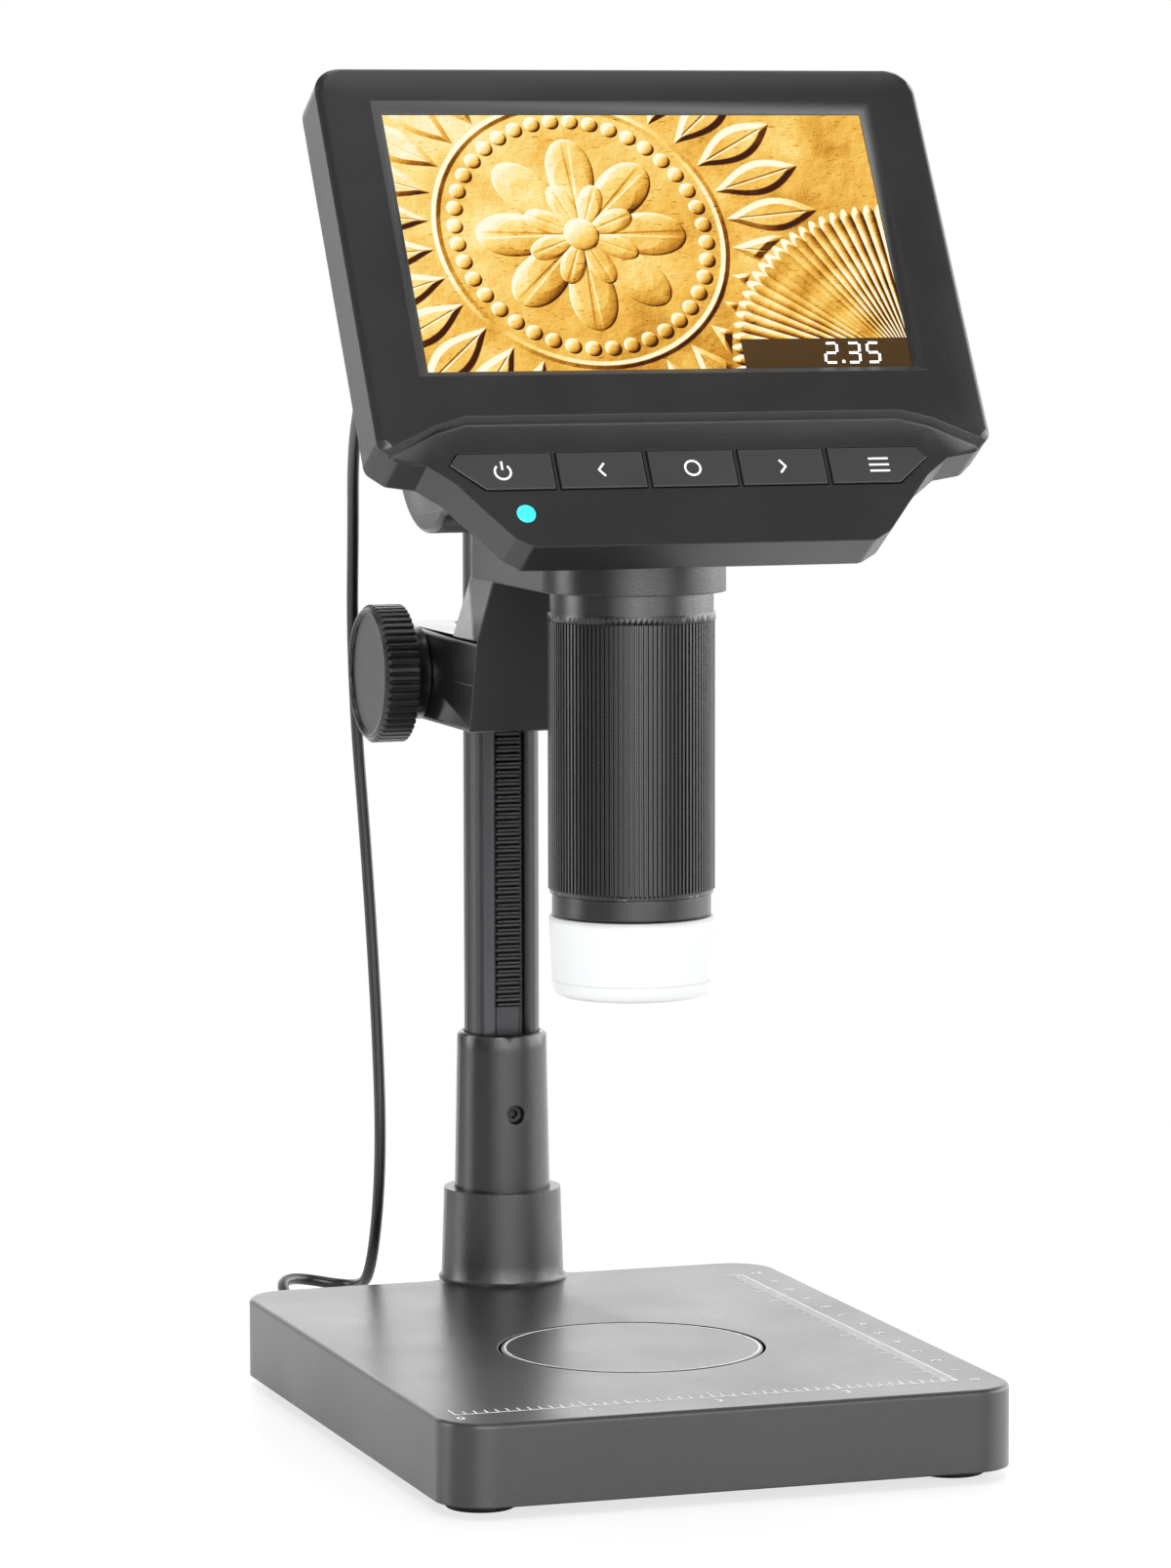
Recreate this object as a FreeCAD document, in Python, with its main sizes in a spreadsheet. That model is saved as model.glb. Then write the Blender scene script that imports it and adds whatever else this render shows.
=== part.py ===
"""Digital microscope with a screen head, a rack stand and a weighing base.

Every piece is its own object of one parametric document. Driving sizes stand in the sheet, and each
piece is bound to them. Millimetres, +Z up. The origin is on the table under the middle of the stand.
"""
import FreeCAD, Part
import math
import os
import Sketcher

Vector = FreeCAD.Vector
doc = FreeCAD.newDocument("DigitalMicroscope")
sheet = doc.addObject("Spreadsheet::Sheet", "Sizes")

# Driving sizes: name, value and meaning
DRIVING = (
    ("foot_height", 2.25, "rubber foot"),
    ("foot_radius", 6.7, "rubber foot"),
    ("foot_inset", 9.9, "foot centre from the base's side and front"),
    ("base_width", 113.7, "base plate"),
    ("base_depth", 145.3, "base plate, front to straight back edge"),
    ("base_height", 15.75, "base plate without its feet"),
    ("base_corner", 9.5, "base plate corner radius"),
    ("base_wall", 2.4, "base side wall"),
    ("base_top_wall", 2.5, "base top wall"),
    ("base_edge", 0.9, "rounding of the top edge"),
    ("cover_thickness", 2.0, "bottom cover"),
    ("seat_gap", 0.2, "gap between pieces of one housing"),
    ("running_gap", 0.05, "radial gap of sliding and turning fits"),
    ("tab_radius", 12.9, "rounded tab of the base round the column"),
    ("tab_blend", 5.0, "hollow rounding between tab and back edge"),
    ("boss_radius", 12.7, "column boss at its foot"),
    ("boss_top_radius", 12.1, "column boss at its mouth"),
    ("boss_height", 19.0, "column boss above the base"),
    ("bead_radius", 13.3, "bead round the foot of the boss"),
    ("bead_height", 1.0, "bead round the foot of the boss"),
    ("sleeve_radius", 9.88, "column sleeve at the boss"),
    ("sleeve_top_radius", 9.25, "column sleeve at its mouth"),
    ("sleeve_height", 32.6, "column sleeve above the boss"),
    ("sleeve_floor", 1.5, "floor of the sleeve"),
    ("sleeve_recess", 2.25, "bolt head space under the sleeve"),
    ("clamp_hole_radius", 1.9, "screw hole in the sleeve's front"),
    ("clamp_hole_drop", 16.5, "screw hole below the sleeve's mouth"),
    ("column_radius", 7.75, "column section"),
    ("column_flat", 5.5, "flat front of the column from its axis"),
    ("column_length", 202.0, "column"),
    ("channel_width", 6.8, "slot in the column"),
    ("channel_floor", 2.9, "floor of the slot from the axis"),
    ("cap_height", 2.5, "end cap of the column"),
    ("rack_width", 5.0, "toothed strip"),
    ("rack_pitch", 1.72, "tooth to tooth"),
    ("rack_tip", 5.4, "tooth tips from the column axis"),
    ("rack_tooth", 1.15, "tooth height"),
    ("rack_start", 74.0, "lowest tooth above the table"),
    ("rack_margin", 5.0, "column top above the last tooth"),
    ("rack_tail", 10.0, "plain strip below the lowest tooth"),
    ("pinion_teeth", 18.0, "pinion"),
    ("pinion_width", 5.0, "pinion"),
    ("shaft_radius", 2.0, "pinion shaft"),
    ("bush_radius", 3.0, "shaft bush"),
    ("bush_length", 6.0, "shaft bush"),
    ("focus_height", 145.3, "knob axis above the table"),
    ("knob_radius", 14.0, "focus knob"),
    ("knob_width", 7.2, "ribbed rim of the knob"),
    ("knob_hub_radius", 9.5, "smooth hub behind the rim"),
    ("knob_hub_length", 3.9, "smooth hub behind the rim"),
    ("knob_dish", 0.6, "dished face of the knob"),
    ("knob_rim", 1.6, "rim round the dished face"),
    ("knob_ribs", 52.0, "ribs round the knob"),
    ("rib_depth", 0.6, "ribs round the knob"),
    ("housing_width", 41.2, "focus housing"),
    ("housing_below", 9.6, "housing below the knob axis"),
    ("housing_above", 9.0, "housing above the knob axis"),
    ("housing_back", 11.3, "housing behind the column axis"),
    ("housing_corner", 9.0, "rear corner of the housing"),
    ("split_gap", 0.1, "joint between housing and its lower cover"),
    ("web_front", 13.7, "front of the web under the arm, from the middle of the stand"),
    ("web_lean", 8.8, "how far the web's front leans back down to the housing's foot"),
    ("web_depth", 16.6, "web, front to back"),
    ("pad_wall", 1.6, "guide ring wall"),
    ("pad_height", 2.5, "guide ring"),
    ("barrel_gap", 16.5, "optical axis in front of the middle of the stand"),
    ("ring_radius", 18.36, "arm ring round the barrel"),
    ("arm_floor", 166.2, "underside of the arm above the table"),
    ("arm_height", 12.3, "arm"),
    ("tube_radius", 15.96, "barrel in the arm ring"),
    ("tube_bore", 13.4, "barrel bore"),
    ("tube_core", 14.6, "barrel inside the grip"),
    ("neck_drop", 4.0, "plain neck under the arm"),
    ("stop_ring_radius", 16.35, "ring above the grip"),
    ("stop_ring_height", 1.6, "ring above the grip"),
    ("grip_radius", 16.2, "ribbed grip"),
    ("grip_length", 52.9, "ribbed grip"),
    ("grip_ribs", 112.0, "ribs round the grip"),
    ("grip_rib_depth", 0.35, "ribs round the grip"),
    ("grip_bevel", 0.9, "plain bevel under the ribs"),
    ("nose_radius", 15.45, "ring under the grip"),
    ("nose_height", 4.3, "ring under the grip"),
    ("hood_radius", 16.1, "frosted hood at its top"),
    ("hood_foot_radius", 15.45, "frosted hood at its foot"),
    ("hood_height", 15.6, "frosted hood"),
    ("hood_wall", 1.4, "frosted hood"),
    ("hood_mouth", 11.0, "opening in the hood's floor"),
    ("lens_radius", 9.0, "objective lens"),
    ("lens_thickness", 5.0, "objective lens"),
    ("cell_height", 14.0, "lens cell"),
    ("pan_radius", 25.6, "weighing pan"),
    ("pan_gap", 0.6, "gap round the pan"),
    ("pan_thickness", 2.0, "weighing pan"),
    ("pan_travel_room", 0.5, "gap between pan and load cell"),
    ("cell_length", 60.0, "load cell bar"),
    ("cell_width", 12.0, "load cell bar"),
    ("cell_thickness", 6.0, "load cell bar"),
    ("cell_block", 3.0, "spacer under the load cell's fixed end"),
    ("board_thickness", 1.6, "printed boards"),
    ("board_post", 2.0, "spacer under the weighing board"),
    ("weigh_board_width", 28.0, "weighing board"),
    ("weigh_board_depth", 31.0, "weighing board"),
    ("screw_radius", 1.25, "housing screws"),
    ("screw_head_radius", 2.4, "housing screws"),
    ("screw_head_height", 1.4, "housing screws"),
    ("base_screw_length", 8.0, "shanks of the base's screws"),
    ("head_screw_length", 7.0, "shanks of the head's screws"),
    ("head_tilt", 31.3, "screen leaning back from upright, degrees"),
    ("head_lead", 41.4, "foot of the screen in front of the middle of the stand"),
    ("head_level", 209.6, "foot of the screen above the table"),
    ("head_half", 61.0, "half width of the head"),
    ("head_top", 66.2, "top edge of the head above the screen's foot"),
    ("head_corner", 5.5, "upper corners"),
    ("head_wall", 2.3, "side wall of the front shell"),
    ("face_wall", 1.5, "face wall of the front shell"),
    ("head_depth", 10.0, "front shell behind the screen"),
    ("face_proud", 1.3, "screen frame in front of the screen"),
    ("panel_drop", 2.0, "button panel behind the screen frame"),
    ("lug_drop", 18.6, "lugs beside the button panel, below the screen's foot"),
    ("chin_drop", 36.9, "lower edge below the screen's foot"),
    ("chin_inset", 27.3, "ends of the lower edge inside the head's sides"),
    ("window_inset", 12.5, "screen opening inside the head's sides"),
    ("window_height", 56.1, "screen opening"),
    ("window_bevel", 2.3, "sloping frame round the screen"),
    ("glass_lap", 2.0, "glass behind the frame"),
    ("glass_thickness", 1.2, "screen glass"),
    ("lcd_thickness", 3.0, "display module"),
    ("button_top", 17.0, "upper edge of the buttons below the screen's foot"),
    ("button_height", 8.0, "buttons"),
    ("button_pitch", 18.0, "buttons"),
    ("button_inset", 13.3, "outer buttons inside the head's sides"),
    ("button_gap", 0.4, "gap between openings' edges and buttons, both sides"),
    ("button_web", 0.35, "half of the web between openings"),
    ("button_proud", 0.3, "buttons in front of the panel"),
    ("button_travel", 0.5, "button press"),
    ("light_radius", 1.8, "status light"),
    ("light_inset", 26.8, "status light inside the head's left side"),
    ("light_drop", 29.8, "status light below the screen's foot"),
    ("back_plate", 2.0, "rear shell plate"),
    ("bulge_radius", 19.3, "half round rear housing"),
    ("bulge_inset", 15.0, "rear housing inside the head's sides"),
    ("bulge_drop", 4.0, "axis of the rear housing below the screen's foot"),
    ("bulge_depth", 15.3, "axis of the rear housing behind the screen"),
    ("neck_radius", 17.2, "neck of the rear shell on the barrel"),
    ("neck_height", 17.0, "neck of the rear shell on the barrel"),
    ("battery_radius", 9.1, "battery"),
    ("battery_length", 65.0, "battery"),
    ("cord_radius", 1.2, "signal cord"),
    ("plug_radius", 4.2, "moulded plugs"),
    ("head_plug_length", 16.0, "plug behind the head"),
    ("base_plug_length", 12.0, "plug behind the base"),
    ("socket_inset", 17.0, "cord socket inside the head's left side"),
    ("socket_rise", 28.0, "cord socket above the screen's foot"),
    ("jack_inset", 17.35, "cord socket inside the base's left side"),
    ("jack_height", 5.0, "cord sockets"),
    ("jack_width", 8.0, "cord sockets"),
)


class Size:
    """A length that carries its value and the expression that the document binds it by."""

    def __init__(self, text, value):
        self.text = text
        self.value = value

    def _join(self, other, sign, value):
        text = other.text if isinstance(other, Size) else repr(float(other))
        return Size("(%s %s %s)" % (self.text, sign, text), value)

    def __add__(self, other):
        return self._join(other, "+", self.value + number(other))

    def __sub__(self, other):
        return self._join(other, "-", self.value - number(other))

    def __mul__(self, other):
        return self._join(other, "*", self.value * number(other))

    def __truediv__(self, other):
        return self._join(other, "/", self.value / number(other))

    def __neg__(self):
        return Size("(0 - %s)" % self.text, -self.value)


def number(size):
    """The plain value of a size or of a number."""
    return size.value if isinstance(size, Size) else float(size)


def read_sheet():
    """Fill the sheet and give its cells as sizes by name."""
    sizes = {}
    for row, (name, value, meaning) in enumerate(DRIVING, start=1):
        sheet.set("A%d" % row, meaning)
        sheet.set("B%d" % row, str(value))
        sheet.setAlias("B%d" % row, name)
        sizes[name] = Size("Sizes." + name, value)
    doc.recompute()
    return sizes


S = read_sheet()


def size(name):
    """The named driving size."""
    return S[name]


# Places worked out from the driving sizes
COLUMN_Y = (size("base_depth") - size("tab_radius")) / 2
BASE_FRONT = -(COLUMN_Y + size("tab_radius"))
BASE_TOP = size("foot_height") + size("base_height")
BOSS_TOP = BASE_TOP + size("boss_height")
SLEEVE_TOP = BOSS_TOP + size("sleeve_height")
SLEEVE_FOOT = size("foot_height") + size("sleeve_recess")
COLUMN_FOOT = SLEEVE_FOOT + size("sleeve_floor")
COLUMN_TOP = COLUMN_FOOT + size("column_length")
BARREL_Y = -size("barrel_gap")
PITCH_RADIUS = size("rack_pitch") * size("pinion_teeth") / (2 * math.pi)
PITCH_LINE = COLUMN_Y - size("rack_tip") + size("rack_tooth") / 2
PINION_Y = PITCH_LINE - PITCH_RADIUS
HOUSING_FOOT = size("focus_height") - size("housing_below")
HOUSING_TOP = size("focus_height") + size("housing_above")
HOUSING_HALF = size("housing_width") / 2
HOUSING_REAR = COLUMN_Y + size("housing_back")
ARM_TOP = size("arm_floor") + size("arm_height")
WEB_BACK = size("web_front") + size("web_depth")
NECK_FOOT = size("arm_floor") - size("neck_drop")
STOP_FOOT = NECK_FOOT - size("stop_ring_height")
GRIP_TOP = STOP_FOOT - 0.1
GRIP_FOOT = GRIP_TOP - size("grip_length")
NOSE_TOP = GRIP_FOOT - 0.1
NOSE_FOOT = NOSE_TOP - size("nose_height")
HOOD_TOP = NOSE_FOOT - 0.1
HOOD_FOOT = HOOD_TOP - size("hood_height")
COVER_TOP = size("foot_height") + size("cover_thickness")
CELL_FOOT = COVER_TOP + size("cell_block")
CELL_TOP = CELL_FOOT + size("cell_thickness")
BOARD_FOOT = COVER_TOP + size("board_post")
BOARD_TOP = BOARD_FOOT + size("board_thickness")
FACE = size("face_proud")
PANEL = FACE - size("panel_drop")
HEAD_BACK = -size("head_depth")
CHIN_HALF = size("head_half") - size("chin_inset")
WINDOW_HALF = size("head_half") - size("window_inset")
BUTTON_END = size("head_half") - size("button_inset")
LIGHT_X = size("light_inset") - size("head_half")
BULGE_HALF = size("head_half") - size("bulge_inset")
SOCKET_X = size("socket_inset") - size("head_half")
JACK_X = size("jack_inset") - size("base_width") / 2
HEAD_TURN = Size("(90 - Sizes.head_tilt)", 90 - S["head_tilt"].value)


# Small tools that build bound features


def bind(thing, prop, amount):
    """Bind a property to a size, or set it to a plain number."""
    text = amount.text if isinstance(amount, Size) else repr(float(amount))
    thing.setExpression(prop, text)


def place(thing, at=(0, 0, 0), axis=None, angle=0):
    """Put an object at bound coordinates, turned about an axis through its origin."""
    if axis:
        thing.Placement = FreeCAD.Placement(Vector(), FreeCAD.Rotation(Vector(*axis), number(angle)))
        if isinstance(angle, Size):
            bind(thing, "Placement.Rotation.Angle", angle)
    for letter, amount in zip("xyz", at):
        bind(thing, "Placement.Base." + letter, amount)


def place_on_head(thing):
    """Give an object the head's frame: across, up the screen, and out of the screen."""
    place(thing, (0, -size("head_lead"), size("head_level")), (1, 0, 0), HEAD_TURN)


def new_body(label):
    """A part design body with its own label."""
    body = doc.addObject("PartDesign::Body", label)
    body.Label = label
    return body


def new_sketch(body, role="XY_Plane", offset=0):
    """A sketch on one of the body's own planes, moved along its normal."""
    sketch = body.newObject("Sketcher::SketchObject", body.Label + "_sketch")
    plane = [f for f in body.Origin.OriginFeatures if f.Role == role][0]
    sketch.AttachmentSupport = [(plane, "")]
    sketch.MapMode = "FlatFace"
    bind(sketch, "AttachmentOffset.Base.z", offset)
    return sketch


def fix_point(sketch, line, end, where):
    """Tie one end of a sketch line to bound coordinates."""
    for kind, amount in zip(("DistanceX", "DistanceY"), where):
        index = sketch.addConstraint(Sketcher.Constraint(kind, -1, 1, line, end, number(amount)))
        bind(sketch, "Constraints[%d]" % index, amount)


def draw_polygon(sketch, points):
    """A closed outline whose corners are bound coordinates."""
    first = sketch.GeometryCount
    flat = [Vector(number(x), number(y), 0) for x, y in points]
    for here, there in zip(flat, flat[1:] + flat[:1]):
        sketch.addGeometry(Part.LineSegment(here, there), False)
    count = len(points)
    for i, where in enumerate(points):
        sketch.addConstraint(Sketcher.Constraint("Coincident", first + i, 2, first + (i + 1) % count, 1))
        fix_point(sketch, first + i, 1, where)


def draw_circle(sketch, centre, radius):
    """A circle with bound centre and radius."""
    x, y = (number(c) for c in centre)
    index = sketch.addGeometry(Part.Circle(Vector(x, y, 0), Vector(0, 0, 1), number(radius)), False)
    ring = sketch.addConstraint(Sketcher.Constraint("Radius", index, number(radius)))
    bind(sketch, "Constraints[%d]" % ring, radius)
    fix_point(sketch, index, 3, centre)


def rectangle(x0, y0, x1, y1):
    """Corners of a rectangle."""
    return [(x0, y0), (x1, y0), (x1, y1), (x0, y1)]


def mirrored(points):
    """An outline from its right half, top to bottom, and the left half mirrored."""
    return points + [(-x, y) for x, y in reversed(points)]


def pad(body, sketch, height):
    """Add material along the sketch's normal."""
    feature = body.newObject("PartDesign::Pad", body.Label + "_pad")
    feature.Profile = sketch
    bind(feature, "Length", height)
    doc.recompute()
    return feature


def pocket(body, sketch, depth):
    """Take material away along the sketch's normal, and check that some went."""
    before = body.Shape.Volume
    feature = body.newObject("PartDesign::Pocket", body.Label + "_pocket")
    feature.Profile = sketch
    feature.Reversed = True
    bind(feature, "Length", depth)
    doc.recompute()
    if body.Shape.Volume >= before:
        raise RuntimeError("a pocket of %s cuts nothing" % body.Label)
    return feature


def revolve(body, sketch):
    """Turn a sketch once round its own upright axis."""
    feature = body.newObject("PartDesign::Revolution", body.Label + "_turned")
    feature.Profile = sketch
    feature.ReferenceAxis = (sketch, ["V_Axis"])
    feature.Angle = 360
    doc.recompute()
    return feature


def soften(body, wanted, amount, kind="Fillet"):
    """Round or bevel the edges that a test picks."""
    base = body.Tip
    names = ["Edge%d" % n for n, edge in enumerate(base.Shape.Edges, start=1) if wanted(edge)]
    if not names:
        raise RuntimeError("no edge to soften on " + body.Label)
    feature = body.newObject("PartDesign::" + kind, body.Label + "_" + kind.lower())
    feature.Base = (base, names)
    bind(feature, "Radius" if kind == "Fillet" else "Size", amount)
    doc.recompute()
    return feature


def near(a, b, slack=0.02):
    """Whether two numbers agree."""
    return abs(number(a) - number(b)) < slack


def upright(edge):
    """Whether a straight edge runs along the local Z."""
    ends = [v.Point for v in edge.Vertexes]
    return len(ends) == 2 and near(ends[0].x, ends[1].x) and near(ends[0].y, ends[1].y)


def upright_at(places, slack=0.05):
    """A test for upright edges that stand at given corners."""
    spots = [(number(x), number(y)) for x, y in places]

    def test(edge):
        if not upright(edge):
            return False
        point = edge.Vertexes[0].Point
        return any(near(point.x, x, slack) and near(point.y, y, slack) for x, y in spots)

    return test


def level_at(z, slack=0.02):
    """A test for edges that lie in one level plane."""
    return lambda edge: near(edge.BoundBox.ZMin, z, slack) and near(edge.BoundBox.ZMax, z, slack)


def turned_body(label, profile, at, axis=None, angle=0):
    """A body turned from a profile of radius and height."""
    body = new_body(label)
    sketch = new_sketch(body, "XZ_Plane")
    draw_polygon(sketch, profile)
    revolve(body, sketch)
    place(body, at, axis, angle)
    return body


def plate_body(label, outline, low, height, holes=()):
    """A flat plate with round holes."""
    body = new_body(label)
    sketch = new_sketch(body, "XY_Plane", low)
    draw_polygon(sketch, outline)
    for centre, radius in holes:
        draw_circle(sketch, centre, radius)
    pad(body, sketch, height)
    return body


def set_shape(label, shape, head=False):
    """A piece whose shape comes from a formula, in the stand's or the head's frame."""
    piece = doc.addObject("Part::Feature", label)
    piece.Label = label
    piece.Shape = shape
    if head:
        place_on_head(piece)
    return piece


def cylinder(radius, height, at=(0, 0, 0), way=(0, 0, 1)):
    """A plain cylinder from sizes."""
    return Part.makeCylinder(number(radius), number(height), Vector(*map(number, at)), Vector(*way))


def block(low, high):
    """A plain box between two corners."""
    a, b = Vector(*map(number, low)), Vector(*map(number, high))
    return Part.makeBox(b.x - a.x, b.y - a.y, b.z - a.z, a)


def screws(label, places, way, head=False, length=8.0):
    """A group of equal screws: each place is the outer middle of a head."""
    solids = []
    for at in places:
        start = Vector(*map(number, at))
        top = start + Vector(*way) * number(size("screw_head_height"))
        head_part = cylinder(size("screw_head_radius"), size("screw_head_height"), start, way)
        slot = Part.makeBox(3.0, 0.6, 1.2, Vector(-1.5, -0.3, -0.6))
        slot.Placement = FreeCAD.Placement(start, FreeCAD.Rotation(Vector(0, 0, 1), Vector(*way)))
        shank = cylinder(size("screw_radius"), length, top, way)
        solids.append(head_part.fuse(shank).removeSplitter().cut(slot))
    return set_shape(label, Part.makeCompound(solids), head)


# Base


def foot_places():
    """Centres of the four feet, which also hide the cover's screws."""
    x = size("base_width") / 2 - size("foot_inset")
    front = BASE_FRONT + size("foot_inset") + 2.9
    back = COLUMN_Y - size("foot_inset") - 2.0
    return [(side, y) for side in (-x, x) for y in (front, back)]


def inner_outline(gap):
    """The base's inside, drawn in by a gap."""
    x = size("base_width") / 2 - size("base_wall") - gap
    front = BASE_FRONT + size("base_wall") + gap
    back = COLUMN_Y - size("base_wall") - gap
    cut = (size("base_corner") - size("base_wall")) * 0.586
    return mirrored([(x - cut, front), (x, front + cut), (x, back - cut), (x - cut, back)])


def build_base_shell():
    """The base's top shell with its tab, column boss, pan opening and screw posts."""
    body = new_body("base_shell")
    half = size("base_width") / 2
    outline = rectangle(-half, BASE_FRONT, half, COLUMN_Y)
    sketch = new_sketch(body, "XY_Plane", size("foot_height"))
    draw_polygon(sketch, outline)
    pad(body, sketch, size("base_height"))
    soften(body, upright_at(outline), size("base_corner"))
    tab = new_sketch(body, "XY_Plane", size("foot_height"))
    draw_circle(tab, (0, COLUMN_Y), size("tab_radius"))
    pad(body, tab, size("base_height"))
    corners = [(-size("tab_radius"), COLUMN_Y), (size("tab_radius"), COLUMN_Y)]
    soften(body, upright_at(corners), size("tab_blend"))
    soften(body, level_at(BASE_TOP), size("base_edge"))
    hollow = new_sketch(body, "XY_Plane", size("foot_height"))
    draw_polygon(hollow, inner_outline(0))
    pocket(body, hollow, size("base_height") - size("base_top_wall"))
    posts = new_sketch(body, "XY_Plane", COVER_TOP)
    for centre in foot_places():
        draw_circle(posts, centre, size("screw_radius") * 2.2)
    pad(body, posts, BASE_TOP - COVER_TOP - size("base_top_wall") / 2)
    core = new_sketch(body, "XY_Plane", size("foot_height"))
    draw_circle(core, (0, COLUMN_Y), size("boss_top_radius"))
    pad(body, core, BASE_TOP - size("foot_height"))
    boss = new_sketch(body, "XZ_Plane", -COLUMN_Y)
    bead = BASE_TOP + size("bead_height")
    draw_polygon(boss, [
        (0, BASE_TOP - 1), (size("bead_radius") - 1, BASE_TOP - 1), (size("bead_radius"), BASE_TOP),
        (size("bead_radius"), BASE_TOP + size("bead_height") / 2), (size("boss_radius"), bead),
        (size("boss_top_radius"), BOSS_TOP), (0, BOSS_TOP),
    ])
    revolve(body, boss)
    bore = new_sketch(body, "XY_Plane", size("foot_height") - 1)
    draw_circle(bore, (0, COLUMN_Y), size("sleeve_radius") + size("running_gap"))
    pocket(body, bore, BOSS_TOP - size("foot_height") + 2)
    holes = new_sketch(body, "XY_Plane", size("foot_height") - 1)
    for centre in foot_places():
        draw_circle(holes, centre, size("screw_radius") + size("running_gap"))
    pocket(body, holes, size("base_height") - size("base_top_wall"))
    opening = new_sketch(body, "XY_Plane", size("foot_height"))
    draw_circle(opening, (0, BARREL_Y), size("pan_radius") + size("pan_gap"))
    pocket(body, opening, size("base_height") + 1)
    jack = new_sketch(body, "XZ_Plane", -COLUMN_Y - 1)
    reach = size("jack_width") / 2 + size("seat_gap")
    draw_polygon(jack, rectangle(JACK_X - reach, BOARD_TOP - size("seat_gap"), JACK_X + reach,
                                 BOARD_TOP + size("jack_height") + size("seat_gap")))
    pocket(body, jack, size("base_wall") + 2)
    return body


def build_base_cover():
    """The bottom cover, with blocks that carry the load cell and the weighing board."""
    body = new_body("base_cover")
    outline = inner_outline(size("seat_gap"))
    sketch = new_sketch(body, "XY_Plane", size("foot_height"))
    draw_polygon(sketch, outline)
    pad(body, sketch, size("cover_thickness"))
    notch = new_sketch(body, "XY_Plane", size("foot_height") - 1)
    draw_circle(notch, (0, COLUMN_Y), size("boss_top_radius") + size("seat_gap"))
    pocket(body, notch, size("cover_thickness") + 2)
    cell = new_sketch(body, "XY_Plane", size("foot_height") + 1)
    low = BARREL_Y - size("cell_width") / 2
    high = BARREL_Y + size("cell_width") / 2
    draw_polygon(cell, rectangle(-size("cell_length") / 2, low, -size("cell_length") / 4, high))
    pad(body, cell, CELL_FOOT - size("foot_height") - 1)
    board = new_sketch(body, "XY_Plane", size("foot_height") + 1)
    x0, y0, x1, y1 = board_reach()
    draw_polygon(board, rectangle(x0 + 4, y0 + 3, x1 - 4, y0 + 7))
    draw_polygon(board, rectangle(x0 + 4, y1 - 7, x1 - 4, y1 - 3))
    pad(body, board, BOARD_FOOT - size("foot_height") - 1)
    holes = new_sketch(body, "XY_Plane", size("foot_height") - 1)
    for centre in foot_places():
        draw_circle(holes, centre, size("screw_radius") + size("seat_gap"))
    pocket(body, holes, size("cover_thickness") + 2)
    sinks = new_sketch(body, "XY_Plane", size("foot_height") - 1)
    for centre in foot_places():
        draw_circle(sinks, centre, size("screw_head_radius") + size("seat_gap"))
    pocket(body, sinks, size("screw_head_height") + 1.1)
    return body


def board_reach():
    """Corners of the weighing board, which lies under the base's cord socket."""
    x0 = JACK_X - size("jack_width") / 2 - 0.3
    y1 = COLUMN_Y - size("base_wall") - 2.5
    return x0, y1 - size("weigh_board_depth"), x0 + size("weigh_board_width"), y1


def build_base_fillings():
    """Feet, screws, load cell, weighing board, cord socket and the pan."""
    feet = [cylinder(size("foot_radius"), size("foot_height"), (x, y, 0)) for x, y in foot_places()]
    rounded = [foot.makeFillet(0.6, [e for e in foot.Edges if level_at(0)(e)]) for foot in feet]
    set_shape("feet", Part.makeCompound(rounded))
    start = size("foot_height") + 0.1
    places = [(x, y, start) for x, y in foot_places()]
    screws("base_screws", places, (0, 0, 1), length=size("base_screw_length"))
    middle = BARREL_Y
    half = size("cell_width") / 2
    bar = plate_body("load_cell", rectangle(-size("cell_length") / 2, middle - half,
                                            size("cell_length") / 2, middle + half),
                     CELL_FOOT, size("cell_thickness"))
    slot = new_sketch(bar, "XZ_Plane", -(middle + half) - 1)
    rise = CELL_FOOT + size("cell_thickness") / 2
    for side in (-6, 6):
        draw_circle(slot, (side, rise), size("cell_thickness") / 3)
    pocket(bar, slot, size("cell_width") + 2)
    x0, y0, x1, y1 = board_reach()
    plate_body("weighing_board", rectangle(x0, y0, x1, y1), BOARD_FOOT, size("board_thickness"))
    reach = size("jack_width") / 2
    jack = new_body("base_socket")
    sketch = new_sketch(jack, "XY_Plane", BOARD_TOP)
    draw_polygon(sketch, rectangle(JACK_X - reach, y1 - 8, JACK_X + reach, COLUMN_Y - 0.5))
    pad(jack, sketch, size("jack_height"))
    mouth = new_sketch(jack, "XZ_Plane", -COLUMN_Y)
    low = BOARD_TOP + size("jack_height") / 2 - 1.2
    draw_polygon(mouth, rectangle(JACK_X - reach + 0.8, low, JACK_X + reach - 0.8, low + 2.4))
    pocket(jack, mouth, 6)


def build_pan():
    """The weighing pan and the foot that stands over the load cell's free end."""
    body = new_body("pan")
    low = BASE_TOP - size("pan_thickness")
    disc = new_sketch(body, "XY_Plane", low)
    draw_circle(disc, (0, BARREL_Y), size("pan_radius"))
    pad(body, disc, size("pan_thickness"))
    soften(body, level_at(BASE_TOP), 0.3)
    foot = new_sketch(body, "XY_Plane", CELL_TOP + size("pan_travel_room"))
    free_end = size("cell_length") / 2 - 10
    half = size("cell_width") / 2
    draw_polygon(foot, rectangle(free_end - 12, BARREL_Y - half, free_end, BARREL_Y + half))
    pad(body, foot, low - CELL_TOP - size("pan_travel_room") + 0.5)


# Column


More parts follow.
